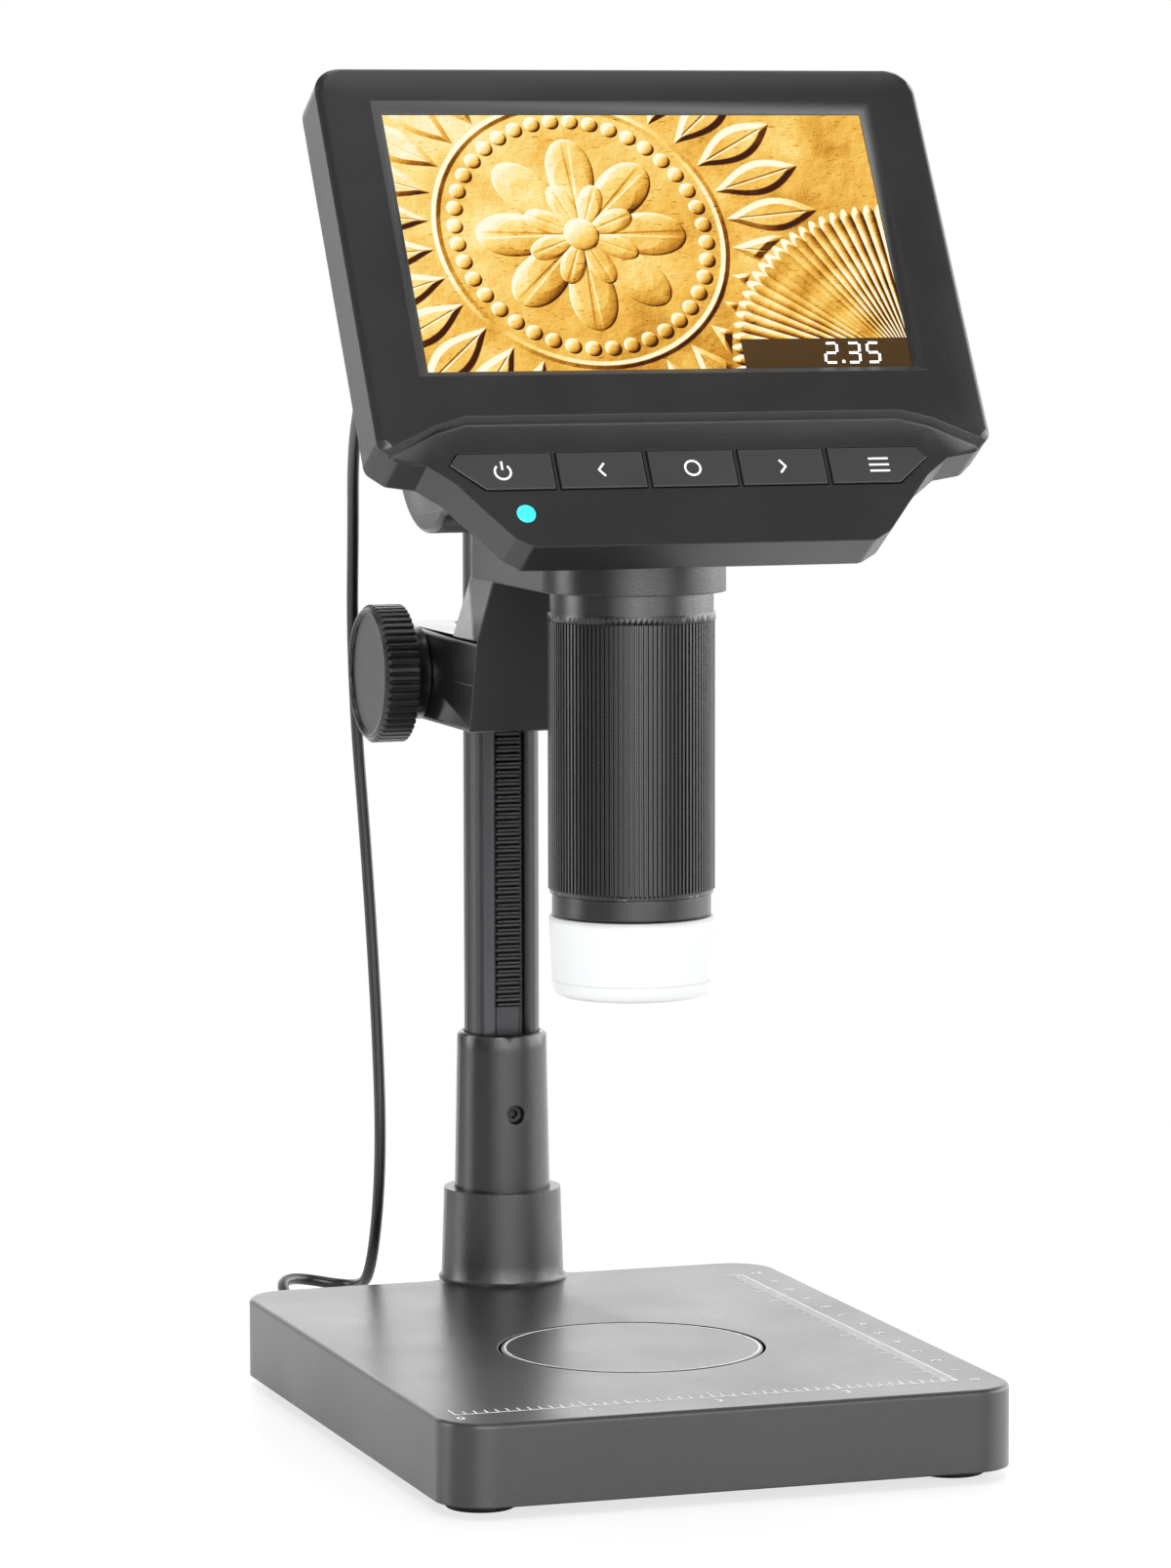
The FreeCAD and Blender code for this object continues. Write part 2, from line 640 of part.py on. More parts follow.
def build_column():
    """The column, its sleeve, bolt, clamp screw and end cap."""
    column = new_body("column")
    sketch = new_sketch(column, "XY_Plane", COLUMN_FOOT)
    draw_circle(sketch, (0, COLUMN_Y), size("column_radius"))
    pad(column, sketch, size("column_length"))
    flat = new_sketch(column, "XY_Plane", COLUMN_FOOT - 1)
    wide = size("column_radius") + 1
    draw_polygon(flat, rectangle(-wide, COLUMN_Y - wide, wide, COLUMN_Y - size("column_flat")))
    pocket(column, flat, size("column_length") + 2)
    channel = new_sketch(column, "XY_Plane", COLUMN_FOOT - 1)
    half = size("channel_width") / 2
    draw_polygon(channel, rectangle(-half, COLUMN_Y - wide, half, COLUMN_Y - size("channel_floor")))
    pocket(column, channel, size("column_length") + 2)
    bolt_radius = size("shaft_radius")
    hole = new_sketch(column, "XY_Plane", COLUMN_FOOT - 1)
    draw_circle(hole, (0, COLUMN_Y), bolt_radius + size("running_gap"))
    pocket(column, hole, 13)
    outer = size("sleeve_radius")
    inner = size("column_radius") + size("running_gap")
    hole_radius = bolt_radius + size("seat_gap")
    sleeve = turned_body("column_sleeve", [
        (hole_radius, SLEEVE_FOOT), (outer, SLEEVE_FOOT), (outer, BOSS_TOP),
        (size("sleeve_top_radius"), SLEEVE_TOP - 0.6), (size("sleeve_top_radius") - 0.6, SLEEVE_TOP),
        (inner, SLEEVE_TOP), (inner, COLUMN_FOOT), (hole_radius, COLUMN_FOOT),
    ], (0, COLUMN_Y, 0))
    front = new_sketch(sleeve, "XZ_Plane", 0)
    rise = SLEEVE_TOP - size("clamp_hole_drop")
    draw_circle(front, (0, rise), size("clamp_hole_radius"))
    pocket(sleeve, front, size("sleeve_radius") + 1)
    screw_radius = size("clamp_hole_radius") - size("running_gap")
    length = size("sleeve_top_radius") - size("channel_floor") - 1.6
    tip = (0, COLUMN_Y - size("channel_floor"), rise)
    pin = cylinder(screw_radius, length, tip, (0, -1, 0))
    key = cylinder(0.9, 1.5, (0, COLUMN_Y - size("channel_floor") - length, rise), (0, 1, 0))
    set_shape("clamp_screw", pin.cut(key))
    head = cylinder(size("shaft_radius") * 1.8, 1.9, (0, COLUMN_Y, SLEEVE_FOOT - 1.9))
    shank = cylinder(bolt_radius, 12, (0, COLUMN_Y, SLEEVE_FOOT))
    set_shape("column_bolt", head.fuse(shank).removeSplitter())
    cap = size("column_radius") + 0.25
    turned_body("column_cap", [
        (0, COLUMN_TOP), (cap, COLUMN_TOP), (cap, COLUMN_TOP + size("cap_height") - 0.8),
        (cap - 0.8, COLUMN_TOP + size("cap_height")), (0, COLUMN_TOP + size("cap_height")),
    ], (0, COLUMN_Y, 0))


def build_rack():
    """The toothed strip in the column's slot: straight flanks, one tooth a pitch."""
    pitch = number(size("rack_pitch"))
    start = number(size("rack_start"))
    stop = number(COLUMN_TOP - size("rack_margin"))
    tip = number(COLUMN_Y - size("rack_tip"))
    root = number(COLUMN_Y - size("rack_tip") + size("rack_tooth"))
    floor = number(COLUMN_Y - size("channel_floor"))
    count = int((stop - start) / pitch)
    # A gap faces the pinion's lowest tooth, so that the two are in mesh at rest
    phase = (number(size("focus_height")) - start) % pitch
    tip_half, root_half = pitch * 0.115, pitch * 0.345
    points = [Vector(0, floor, start - number(size("rack_tail")))]
    points.append(Vector(0, root, points[0].z))
    for n in range(count):
        middle = start + phase + (n + 0.5) * pitch
        points.append(Vector(0, root, middle - root_half))
        points.append(Vector(0, tip, middle - tip_half))
        points.append(Vector(0, tip, middle + tip_half))
        points.append(Vector(0, root, middle + root_half))
    points += [Vector(0, root, stop + pitch), Vector(0, floor, stop + pitch)]
    half = number(size("rack_width")) / 2
    wire = Part.makePolygon(points + points[:1])
    teeth = Part.Face(wire).extrude(Vector(2 * half, 0, 0))
    teeth.translate(Vector(-half, 0, 0))
    edge = number(size("channel_width")) / 2 - 0.1
    strip = block((-edge, root + 0.3, points[0].z), (edge, floor, stop + pitch))
    set_shape("rack", teeth.fuse(strip).removeSplitter())


def ribbed_disc(ribs, radius, depth, share=0.5):
    """A face with straight ribs round it: ribs, outer radius and rib depth."""
    step = 2 * math.pi / ribs
    points = []
    for n in range(ribs):
        for offset, r in ((-share / 2, radius), (share / 2, radius),
                          (share / 2 + 0.12, radius - depth), (1 - share / 2 - 0.12, radius - depth)):
            angle = (n + offset) * step
            points.append(Vector(r * math.cos(angle), r * math.sin(angle), 0))
    return Part.Face(Part.makePolygon(points + points[:1]))


def build_pinion():
    """The pinion shaft with involute teeth, and a ribbed knob on each end."""
    teeth = int(number(size("pinion_teeth")))
    pitch_radius = number(PITCH_RADIUS)
    tooth = number(size("rack_tooth"))
    base = pitch_radius * math.cos(math.radians(20))
    outer = pitch_radius + tooth * 0.42
    root = pitch_radius - tooth * 0.62

    def roll(radius):
        ratio = max(1.0, radius / base)
        return math.sqrt(ratio * ratio - 1) - math.acos(1 / ratio)

    half = math.pi / (2 * teeth) * 0.86 + roll(pitch_radius)
    steps = [base + (outer - base) * i / 3 for i in range(4)]
    flank = [(root, half - roll(base) + 0.02)] + [(r, half - roll(r)) for r in steps]
    points = []
    for n in range(teeth):
        centre = 2 * math.pi * n / teeth + math.pi / 2
        for side, run in ((-1, flank), (1, list(reversed(flank)))):
            for r, spread in run:
                angle = centre + side * spread
                points.append(Vector(0, r * math.sin(angle), r * math.cos(angle)))
    wire = Part.makePolygon(points + points[:1])
    width = number(size("pinion_width"))
    gear = Part.Face(wire).extrude(Vector(width, 0, 0))
    gear.translate(Vector(-width / 2, 0, 0))
    reach = number(HOUSING_HALF + size("knob_hub_length") + size("knob_width")) - 2
    shaft = cylinder(size("shaft_radius"), 2 * reach, (-reach, 0, 0), (1, 0, 0))
    whole = gear.fuse(shaft).removeSplitter()
    whole.translate(Vector(0, number(PINION_Y), number(size("focus_height"))))
    set_shape("pinion_shaft", whole)
    for name, side in (("focus_knob_left", -1), ("focus_knob_right", 1)):
        set_shape(name, knob_shape(side))


def knob_shape(side):
    """A knob on the shaft: hub, ribbed rim, bevelled edges and a dished face."""
    radius, width = number(size("knob_radius")), number(size("knob_width"))
    hub = number(size("knob_hub_length"))
    gap = number(size("seat_gap"))
    near_face = number(HOUSING_HALF) + gap
    rim_start = near_face + hub - gap
    rim = ribbed_disc(int(number(size("knob_ribs"))), radius, number(size("rib_depth")))
    rim = rim.extrude(Vector(0, 0, width))
    bevel = 1.0
    envelope = Part.makeCylinder(radius, width - bevel)
    envelope = envelope.fuse(Part.makeCone(radius, radius - bevel, bevel, Vector(0, 0, width - bevel)))
    rim = rim.common(envelope.removeSplitter())
    dish = number(size("knob_dish"))
    rim = rim.cut(Part.makeCylinder(radius - number(size("knob_rim")), dish, Vector(0, 0, width - dish)))
    rim.translate(Vector(0, 0, rim_start))
    boss = cylinder(size("knob_hub_radius"), rim_start - near_face + 0.5, (0, 0, near_face))
    shape = rim.fuse(boss).removeSplitter()
    bore = number(size("shaft_radius")) + 0.02
    shape = shape.cut(Part.makeCylinder(bore, rim_start + width - 1.9))
    turn = FreeCAD.Rotation(Vector(0, 1, 0), 90 * side)
    shape.Placement = FreeCAD.Placement(
        Vector(0, number(PINION_Y), number(size("focus_height"))), turn)
    return shape


# Carriage on the column


def cut_focus_bores(body, low, height):
    """The column's bore, the pinion's chamber and the shaft's bore, shared by housing and cover."""
    bore = new_sketch(body, "XY_Plane", low - 1)
    draw_circle(bore, (0, COLUMN_Y), size("column_radius") + size("running_gap") + size("pad_wall")
                + size("running_gap"))
    pocket(body, bore, height + 2)
    chamber = new_sketch(body, "YZ_Plane", -size("pinion_width") / 2 - 1)
    draw_circle(chamber, (PINION_Y, size("focus_height")), PITCH_RADIUS + size("rack_tooth"))
    pocket(body, chamber, size("pinion_width") + 2)
    shaft = new_sketch(body, "YZ_Plane", -HOUSING_HALF - 1)
    draw_circle(shaft, (PINION_Y, size("focus_height")), size("bush_radius") + size("running_gap"))
    pocket(body, shaft, size("housing_width") + 2)


def web_front_at(z):
    """Where the leaning front of the web stands at a height."""
    drop = size("arm_floor") - z
    return size("web_front") + size("web_lean") * drop / (size("arm_floor") - HOUSING_FOOT)


def build_arm():
    """The arm: ring, cantilever, leaning web and the upper half of the focus housing."""
    body = new_body("arm_bracket")
    ring = new_sketch(body, "XY_Plane", size("arm_floor"))
    draw_circle(ring, (0, BARREL_Y), size("ring_radius"))
    pad(body, ring, size("arm_height"))
    beam = new_sketch(body, "XY_Plane", size("arm_floor"))
    x = size("ring_radius")
    draw_polygon(beam, rectangle(-x, BARREL_Y, x, WEB_BACK))
    pad(body, beam, size("arm_height"))
    soften(body, upright_at([(-x, WEB_BACK), (x, WEB_BACK)]), 3)
    soften(body, level_at(ARM_TOP), 1.0)
    narrow = x - 0.3
    front = web_front_at(size("focus_height"))
    web = new_sketch(body, "YZ_Plane", -narrow)
    draw_polygon(web, [
        (front, size("focus_height")), (front + size("web_depth"), size("focus_height")),
        (WEB_BACK - 2, size("arm_floor") + 1), (size("web_front"), size("arm_floor") + 1),
    ])
    pad(body, web, narrow * 2)
    box = new_sketch(body, "YZ_Plane", -HOUSING_HALF)
    draw_polygon(box, [
        (front, size("focus_height")), (HOUSING_REAR, size("focus_height")), (HOUSING_REAR, HOUSING_TOP),
        (web_front_at(HOUSING_TOP), HOUSING_TOP),
    ])
    pad(body, box, HOUSING_HALF * 2)
    corners = [(-HOUSING_HALF, HOUSING_REAR), (HOUSING_HALF, HOUSING_REAR)]
    soften(body, upright_at(corners), size("housing_corner"))
    soften(body, rear_rim(HOUSING_TOP), 1.4)
    bore = new_sketch(body, "XY_Plane", size("arm_floor") - 1)
    draw_circle(bore, (0, BARREL_Y), size("tube_radius") + size("running_gap"))
    pocket(body, bore, size("arm_height") + 2)
    cut_focus_bores(body, size("focus_height"), size("housing_above"))
    holes = new_sketch(body, "XY_Plane", size("focus_height") - 1)
    for centre in housing_screw_places():
        draw_circle(holes, centre, size("screw_radius") + size("running_gap"))
    pocket(body, holes, size("housing_above") - 1)
    return body


def rear_rim(z):
    """A test for level edges of the housing behind the web."""
    limit = number(WEB_BACK) + 6
    return lambda edge: level_at(z)(edge) and edge.BoundBox.YMin > limit


def housing_screw_places():
    """Where screws hold the lower cover to the housing."""
    x = HOUSING_HALF - 5.6
    return [(side, y) for side in (-x, x) for y in (WEB_BACK + 4, HOUSING_REAR - 6)]


def build_housing_cover():
    """The lower half of the focus housing, under the knob axis."""
    body = new_body("housing_cover")
    top = size("focus_height") - size("split_gap")
    side = new_sketch(body, "YZ_Plane", -HOUSING_HALF)
    foot_front = web_front_at(HOUSING_FOOT)
    draw_polygon(side, [(foot_front, HOUSING_FOOT), (HOUSING_REAR, HOUSING_FOOT), (HOUSING_REAR, top),
                        (web_front_at(top), top)])
    pad(body, side, size("housing_width"))
    soften(body, upright_at([(-HOUSING_HALF, HOUSING_REAR), (HOUSING_HALF, HOUSING_REAR)]),
           size("housing_corner"))
    soften(body, level_at(HOUSING_FOOT), 1.0)
    cut_focus_bores(body, HOUSING_FOOT, size("housing_below"))
    holes = new_sketch(body, "XY_Plane", HOUSING_FOOT - 1)
    for centre in housing_screw_places():
        draw_circle(holes, centre, size("screw_radius") + size("seat_gap"))
    pocket(body, holes, size("housing_below") + 2)
    sinks = new_sketch(body, "XY_Plane", HOUSING_FOOT - 1)
    for centre in housing_screw_places():
        draw_circle(sinks, centre, size("screw_head_radius") + size("seat_gap"))
    pocket(body, sinks, size("screw_head_height") + 2)


def build_focus_fittings():
    """Guide rings on the column, bushes on the shaft and the housing's screws."""
    inner = number(size("column_radius") + size("running_gap"))
    outer = inner + number(size("pad_wall"))
    pads = []
    for low in (HOUSING_FOOT + 0.3, HOUSING_TOP - size("pad_height") - 0.3):
        at = (0, COLUMN_Y, low)
        pads.append(cylinder(outer, size("pad_height"), at).cut(cylinder(inner, size("pad_height"), at)))
    set_shape("guide_rings", Part.makeCompound(pads))
    bushes = []
    for side in (-1, 1):
        at = (number(HOUSING_HALF) * side, PINION_Y, size("focus_height"))
        way = (-side, 0, 0)
        tube = cylinder(size("bush_radius"), size("bush_length"), at, way)
        bore = cylinder(size("shaft_radius") + size("running_gap"), size("bush_length"), at, way)
        bushes.append(tube.cut(bore))
    set_shape("shaft_bushes", Part.makeCompound(bushes))
    start = HOUSING_FOOT + 1
    screws("housing_screws", [(x, y, start) for x, y in housing_screw_places()], (0, 0, 1), length=12)


# Optical tube


def build_tube():
    """Barrel, grip, nose ring, hood, light ring, lens cell, lens and image sensor."""
    at = (0, BARREL_Y, 0)
    bore, core = size("tube_bore"), size("tube_core")
    turned_body("tube_body", [
        (bore, NOSE_FOOT), (core, NOSE_FOOT), (core, STOP_FOOT), (size("stop_ring_radius"), STOP_FOOT),
        (size("stop_ring_radius"), NECK_FOOT), (size("tube_radius"), NECK_FOOT),
        (size("tube_radius"), ARM_TOP), (bore, ARM_TOP),
    ], at)
    nose = core + size("running_gap")
    turned_body("nose_ring", [
        (nose, NOSE_FOOT), (size("nose_radius") - 0.3, NOSE_FOOT), (size("nose_radius"), NOSE_FOOT + 0.4),
        (size("nose_radius"), NOSE_TOP), (nose, NOSE_TOP),
    ], at)
    grip = ribbed_disc(int(number(size("grip_ribs"))), number(size("grip_radius")),
                       number(size("grip_rib_depth")), 0.42)
    grip = grip.extrude(Vector(0, 0, number(size("grip_length") - size("grip_bevel"))))
    grip.translate(Vector(0, 0, number(GRIP_FOOT + size("grip_bevel"))))
    inner = number(core + size("running_gap"))
    plain = number(size("grip_radius")) - 0.35
    bevel = Part.makeCylinder(plain, number(size("grip_bevel")), Vector(0, 0, number(GRIP_FOOT)))
    grip = grip.fuse(bevel).cut(
        Part.makeCylinder(inner, number(size("grip_length")), Vector(0, 0, number(GRIP_FOOT))))
    grip.translate(Vector(0, number(BARREL_Y), 0))
    set_shape("focus_grip", grip)
    top, foot = size("hood_radius"), size("hood_foot_radius")
    wall = size("hood_wall")
    turned_body("light_hood", [
        (top - wall, HOOD_TOP), (top - 0.3, HOOD_TOP), (top, HOOD_TOP - 0.4),
        (foot, HOOD_FOOT + 2.2), (foot - 0.6, HOOD_FOOT + 0.7), (foot - 2, HOOD_FOOT),
        (size("hood_mouth"), HOOD_FOOT), (size("hood_mouth"), HOOD_FOOT + wall),
        (foot - wall - 1, HOOD_FOOT + wall), (foot - wall, HOOD_FOOT + 3.6),
    ], at)
    ring = cylinder(size("hood_radius") - wall - 0.3, size("board_thickness"),
                    (0, BARREL_Y, HOOD_TOP - size("board_thickness")))
    ring = ring.cut(cylinder(7, 4, (0, BARREL_Y, HOOD_TOP - 3)))
    low = number(HOOD_TOP - size("board_thickness")) - 0.8
    for n in range(8):
        angle = math.radians(45 * n)
        lamp = block((-1.5, -1.1, low), (1.5, 1.1, low + 1.2))
        lamp.Placement = FreeCAD.Placement(
            Vector(10.8 * math.cos(angle), number(BARREL_Y) + 10.8 * math.sin(angle), 0),
            FreeCAD.Rotation(Vector(0, 0, 1), 45 * n))
        ring = ring.fuse(lamp)
    set_shape("light_ring", ring.removeSplitter())
    low = GRIP_FOOT + 10
    lens = size("lens_radius")
    slide = bore - size("running_gap") * 2
    turned_body("lens_cell", [
        (lens - 0.8, low), (slide, low), (slide, low + size("cell_height")), (lens + 0.04, low
         + size("cell_height")), (lens + 0.04, low + 1), (lens - 0.8, low + 1),
    ], at)
    seat = low + 1
    turned_body("objective_lens", [
        (0, seat + 0.1), (lens * 0.5, seat + 0.25), (lens * 0.8, seat + 0.6), (lens, seat + 1),
        (lens, seat + size("lens_thickness") - 1), (lens * 0.8, seat + size("lens_thickness") - 0.5),
        (lens * 0.5, seat + size("lens_thickness") - 0.2), (0, seat + size("lens_thickness")),
    ], at)
    level = ARM_TOP - 8
    disc = cylinder(bore - 0.3, size("board_thickness"), (0, BARREL_Y, level))
    middle = number(BARREL_Y)
    chip = block((-4, middle - 3, level - 1.2), (4, middle + 3, level))
    set_shape("image_sensor", disc.fuse(chip))


# Head, drawn in its own frame: across, up the screen from its foot, out of the screen


def head_outline(inset=0.0):
    """The head's outline: square shoulders, lugs and a narrower chin."""
    half = size("head_half") - inset
    return mirrored([
        (half, size("head_top") - inset), (half, -size("lug_drop") + 3 + inset * 0.5),
        (half - 3.4, -size("lug_drop") + inset), (half - 9.2, -size("lug_drop") - 1 + inset),
        (half - 14, -size("lug_drop") - 4.6 + inset), (half - 23.8, -size("chin_drop") + 2 + inset),
        (CHIN_HALF - inset * 0.5, -size("chin_drop") + inset),
    ])


def button_spans():
    """Left and right ends of the five buttons."""
    pitch, web = size("button_pitch"), size("button_web")
    inner = pitch * 1.5
    end = BUTTON_END
    return [(-end, -inner - web), (-inner + web, -pitch / 2 - web), (-pitch / 2 + web, pitch / 2 - web),
            (pitch / 2 + web, inner - web), (inner + web, end)]


def button_outline(index, gap):
    """A button's outline: the outer two have slanting ends."""
    left, right = button_spans()[index]
    top = -size("button_top") - gap
    foot = -size("button_top") - size("button_height") + gap
    shoulder = -size("button_top") - 2.6
    left, right = left + gap, right - gap
    if index == 0:
        return [(left + 1.9, top), (right, top), (right, foot), (left + 6.4, foot), (left, shoulder)]
    if index == 4:
        return [(left, top), (right - 1.9, top), (right, shoulder), (right - 6.4, foot), (left, foot)]
    return rectangle(left, foot, right, top)


def head_screw_places():
    """Where screws join the two shells of the head."""
    x = size("head_half") - 5.8
    return [(-x, size("head_top") - 6), (x, size("head_top") - 6), (-x + 1.7, -10), (x - 1.7, -10)]


def build_front_shell():
    """The moulded front: frame, sloping window edge, stepped button panel and openings."""
    body = new_body("head_front_shell")
    outline = head_outline()
    sketch = new_sketch(body, "XY_Plane", HEAD_BACK)
    draw_polygon(sketch, outline)
    pad(body, sketch, size("head_depth") + FACE)
    points = [(number(x), number(y)) for x, y in outline]
    soften(body, upright_at([points[0], points[-1]]), size("head_corner"))
    soften(body, upright_at([points[1], points[2], points[-2], points[-3]]), 2.2)
    soften(body, upright_at([points[4], points[-5]]), 5)
    soften(body, upright_at([points[6], points[5], points[-6], points[-7]]), 2.2)
    soften(body, level_at(FACE), 1.3, "Chamfer")
    half = size("head_half")
    step = new_sketch(body, "XY_Plane", PANEL)
    deep = size("lug_drop")
    draw_polygon(step, mirrored([
        (half - 18, -deep + 7.3), (half - 12, -deep + 5.6), (half - 3.5, -deep + 1.4),
        (half + 4, -deep + 0.2), (half + 4, -size("chin_drop") - 4),
    ]))
    pocket(body, step, size("panel_drop") + 1)
    ledge_level = number(FACE)

    def ledge(edge):
        box = edge.BoundBox
        return (near(box.ZMin, ledge_level) and near(box.ZMax, ledge_level)
                and box.YMax < number(-deep + 7.5) and abs(box.Center.x) < number(half) - 4)

    soften(body, ledge, 1.1, "Chamfer")
    wall = size("head_wall")
    screen_back = new_sketch(body, "XY_Plane", HEAD_BACK)
    draw_polygon(screen_back, rectangle(-half + wall, -9, half - wall, size("head_top") - wall))
    pocket(body, screen_back, size("head_depth") + FACE - size("face_wall"))
    panel_back = new_sketch(body, "XY_Plane", HEAD_BACK)
    draw_polygon(panel_back, mirrored([
        (half - wall - 1, -8), (half - wall - 1, -deep + 3.4), (half - 9.2, -deep + 1.4),
        (half - 14.8, -deep - 3), (half - 26, -size("chin_drop") + 3.2),
        (CHIN_HALF - 2, -size("chin_drop") + wall),
    ]))
    pocket(body, panel_back, size("head_depth") + PANEL - size("face_wall"))
    window = new_sketch(body, "XY_Plane", HEAD_BACK)
    wide = WINDOW_HALF
    draw_polygon(window, rectangle(-wide, 0, wide, size("window_height")))
    pocket(body, window, size("head_depth") + FACE + 1)
    slope = size("window_bevel")
    inner = new_sketch(body, "XY_Plane", FACE - size("face_wall") + 0.2)
    draw_polygon(inner, rectangle(-wide, 0, wide, size("window_height")))
    outer = new_sketch(body, "XY_Plane", FACE)
    draw_polygon(outer, rectangle(-wide - slope, -slope * 0.7, wide + slope,
                                  size("window_height") + slope))
    loft = body.newObject("PartDesign::SubtractiveLoft", "window_slope")
    loft.Profile = inner
    loft.Sections = [outer]
    loft.Ruled = True
    doc.recompute()
    posts = new_sketch(body, "XY_Plane", HEAD_BACK)
    for centre in head_screw_places():
        draw_circle(posts, centre, 2.9)
    pad(body, posts, size("head_depth") + FACE - 0.5)
    pilots = new_sketch(body, "XY_Plane", HEAD_BACK - 1)
    for centre in head_screw_places():
        draw_circle(pilots, centre, size("screw_radius") + size("running_gap"))
    pocket(body, pilots, size("head_screw_length") + 1.5)
    openings = new_sketch(body, "XY_Plane", PANEL - size("face_wall") - 1)
    for index in range(5):
        draw_polygon(openings, button_outline(index, 0))
    draw_circle(openings, (LIGHT_X, -size("light_drop")), size("light_radius") + size("running_gap"))
    pocket(body, openings, size("face_wall") + 3)
    place_on_head(body)


def build_rear_shell():
    """The rear plate with its half round housing, standing on the barrel by a neck."""
    form = new_body("rear_shell_form")
    outline = head_outline(0.4)
    plate = new_sketch(form, "XY_Plane", HEAD_BACK - size("back_plate"))
    draw_polygon(plate, outline)
    pad(form, plate, size("back_plate"))
    points = [(number(x), number(y)) for x, y in outline]
    soften(form, upright_at([points[0], points[-1]]), size("head_corner"))
    soften(form, upright_at([points[1], points[2], points[-2], points[-3]]), 2.0)
    soften(form, level_at(HEAD_BACK - size("back_plate")), 1.0, "Chamfer")
    drum = new_sketch(form, "YZ_Plane", -BULGE_HALF)
    draw_circle(drum, (-size("bulge_drop"), -size("bulge_depth")), size("bulge_radius"))
    pad(form, drum, BULGE_HALF * 2)

    def drum_end(edge):
        return edge.Curve.TypeId == "Part::GeomCircle" and near(abs(edge.BoundBox.Center.x),
                                                                BULGE_HALF, 0.1)

    soften(form, drum_end, 1.0)
    face = new_sketch(form, "XY_Plane", HEAD_BACK)
    half = size("head_half") + 5
    draw_polygon(face, rectangle(-half, -half, half, half))
    pocket(form, face, size("bulge_radius") * 2)
    place_on_head(form)
    neck = doc.addObject("Part::Cylinder", "rear_shell_neck")
    bind(neck, "Radius", size("neck_radius"))
    bind(neck, "Height", size("neck_height"))
    place(neck, (0, BARREL_Y, ARM_TOP))
    joined = doc.addObject("Part::Fuse", "rear_shell_joined")
    joined.Base, joined.Tool = form, neck
    cavity = battery_cavity()
    shell = doc.addObject("Part::Cut", "head_rear_shell")
    shell.Label = "head_rear_shell"
    shell.Base, shell.Tool = joined, cavity
    doc.recompute()


def battery_centre():
    """Where the battery's axis lies in the head's frame: up and out."""
    return number(-size("bulge_drop")) + 4, number(-size("bulge_depth")) - 5.7


def battery_cavity():
    """What the rear shell leaves free: battery, cord socket and screw holes."""
    up, out = battery_centre()
    room = number(size("battery_radius")) + 0.3
    half = number(size("battery_length")) / 2 + 0.5
    front = number(HEAD_BACK) + 1
    cavity = cylinder(room, 2 * half, (-half, up, out), (1, 0, 0))
    cavity = cavity.fuse(block((-half, up - room, out), (half, up + room, front)))
    socket = block((number(SOCKET_X) - 4.4, number(size("socket_rise")) - 2.1,
                    number(HEAD_BACK) - 5),
                   (number(SOCKET_X) + 4.4, number(size("socket_rise")) + 2.1, front))
    cavity = cavity.fuse(socket)
    back = number(HEAD_BACK - size("back_plate"))
    for x, y in head_screw_places():
        cavity = cavity.fuse(cylinder(size("screw_radius") + size("seat_gap"), 6, (x, y, back - 1)))
        cavity = cavity.fuse(cylinder(size("screw_head_radius") + size("seat_gap"),
                                      size("screw_head_height") + 1.1, (x, y, back - 1)))
    return set_shape("rear_shell_cavity", cavity, head=True)


def build_head_fillings():
    """Glass, display, boards, battery, status light, socket and screws of the head."""
    wide, tall, lap = WINDOW_HALF, size("window_height"), size("glass_lap")
    glass_front = FACE - size("face_wall")
    glass_back = glass_front - size("glass_thickness")
    glass = plate_body("screen_glass", rectangle(-wide - lap, -lap, wide + lap, tall + lap),
                       glass_back, size("glass_thickness"))
    place_on_head(glass)
    lcd_back = glass_back - size("lcd_thickness")
    lcd = plate_body("display_module", rectangle(-wide - 3.4, -6.2, wide + 3.4, tall + 3.6),
                     lcd_back, size("lcd_thickness"))
    place_on_head(lcd)
    board_back = lcd_back - 0.2 - size("board_thickness")
    board = plate_body("main_board", rectangle(-wide - 1.5, -6, wide + 1.5, tall), board_back,
                       size("board_thickness"))
    place_on_head(board)
    key_front = PANEL - size("face_wall") - 1.8
    keys = plate_body("key_board", mirrored([
        (size("head_half") - 11, -12.7), (size("head_half") - 11.5, -17.5),
        (size("head_half") - 17, -size("lug_drop") - 3.4), (size("head_half") - 25.6,
                                                            -size("chin_drop") + 4.4),
    ]), key_front - size("board_thickness"), size("board_thickness"))
    place_on_head(keys)
    lamp = turned_body("status_light", [
        (0, key_front), (size("light_radius"), key_front), (size("light_radius"), PANEL),
        (size("light_radius") - 0.3, PANEL + 0.15), (0, PANEL + 0.15),
    ], (0, 0, 0))
    place(lamp, head_point(LIGHT_X, -size("light_drop"), 0), (1, 0, 0), HEAD_TURN)
    up, out = battery_centre()
    length = number(size("battery_length"))
    cell = cylinder(size("battery_radius"), length - 1, (-length / 2, up, out), (1, 0, 0))
    button = cylinder(2.8, 1, (length / 2 - 1, up, out), (1, 0, 0))
    set_shape("battery", cell.fuse(button), head=True)
    x, y = number(SOCKET_X), number(size("socket_rise"))
    back = number(HEAD_BACK - size("back_plate"))
    socket = block((x - 4, y - 1.7, back + 0.3), (x + 4, y + 1.7, number(board_back)))
    mouth = block((x - 3.2, y - 0.9, back), (x + 3.2, y + 0.9, back + 4))
    set_shape("head_socket", socket.cut(mouth), head=True)
    places = [(a, b, back + 0.1) for a, b in head_screw_places()]
    screws("head_screws", places, (0, 0, 1), head=True, length=size("head_screw_length"))


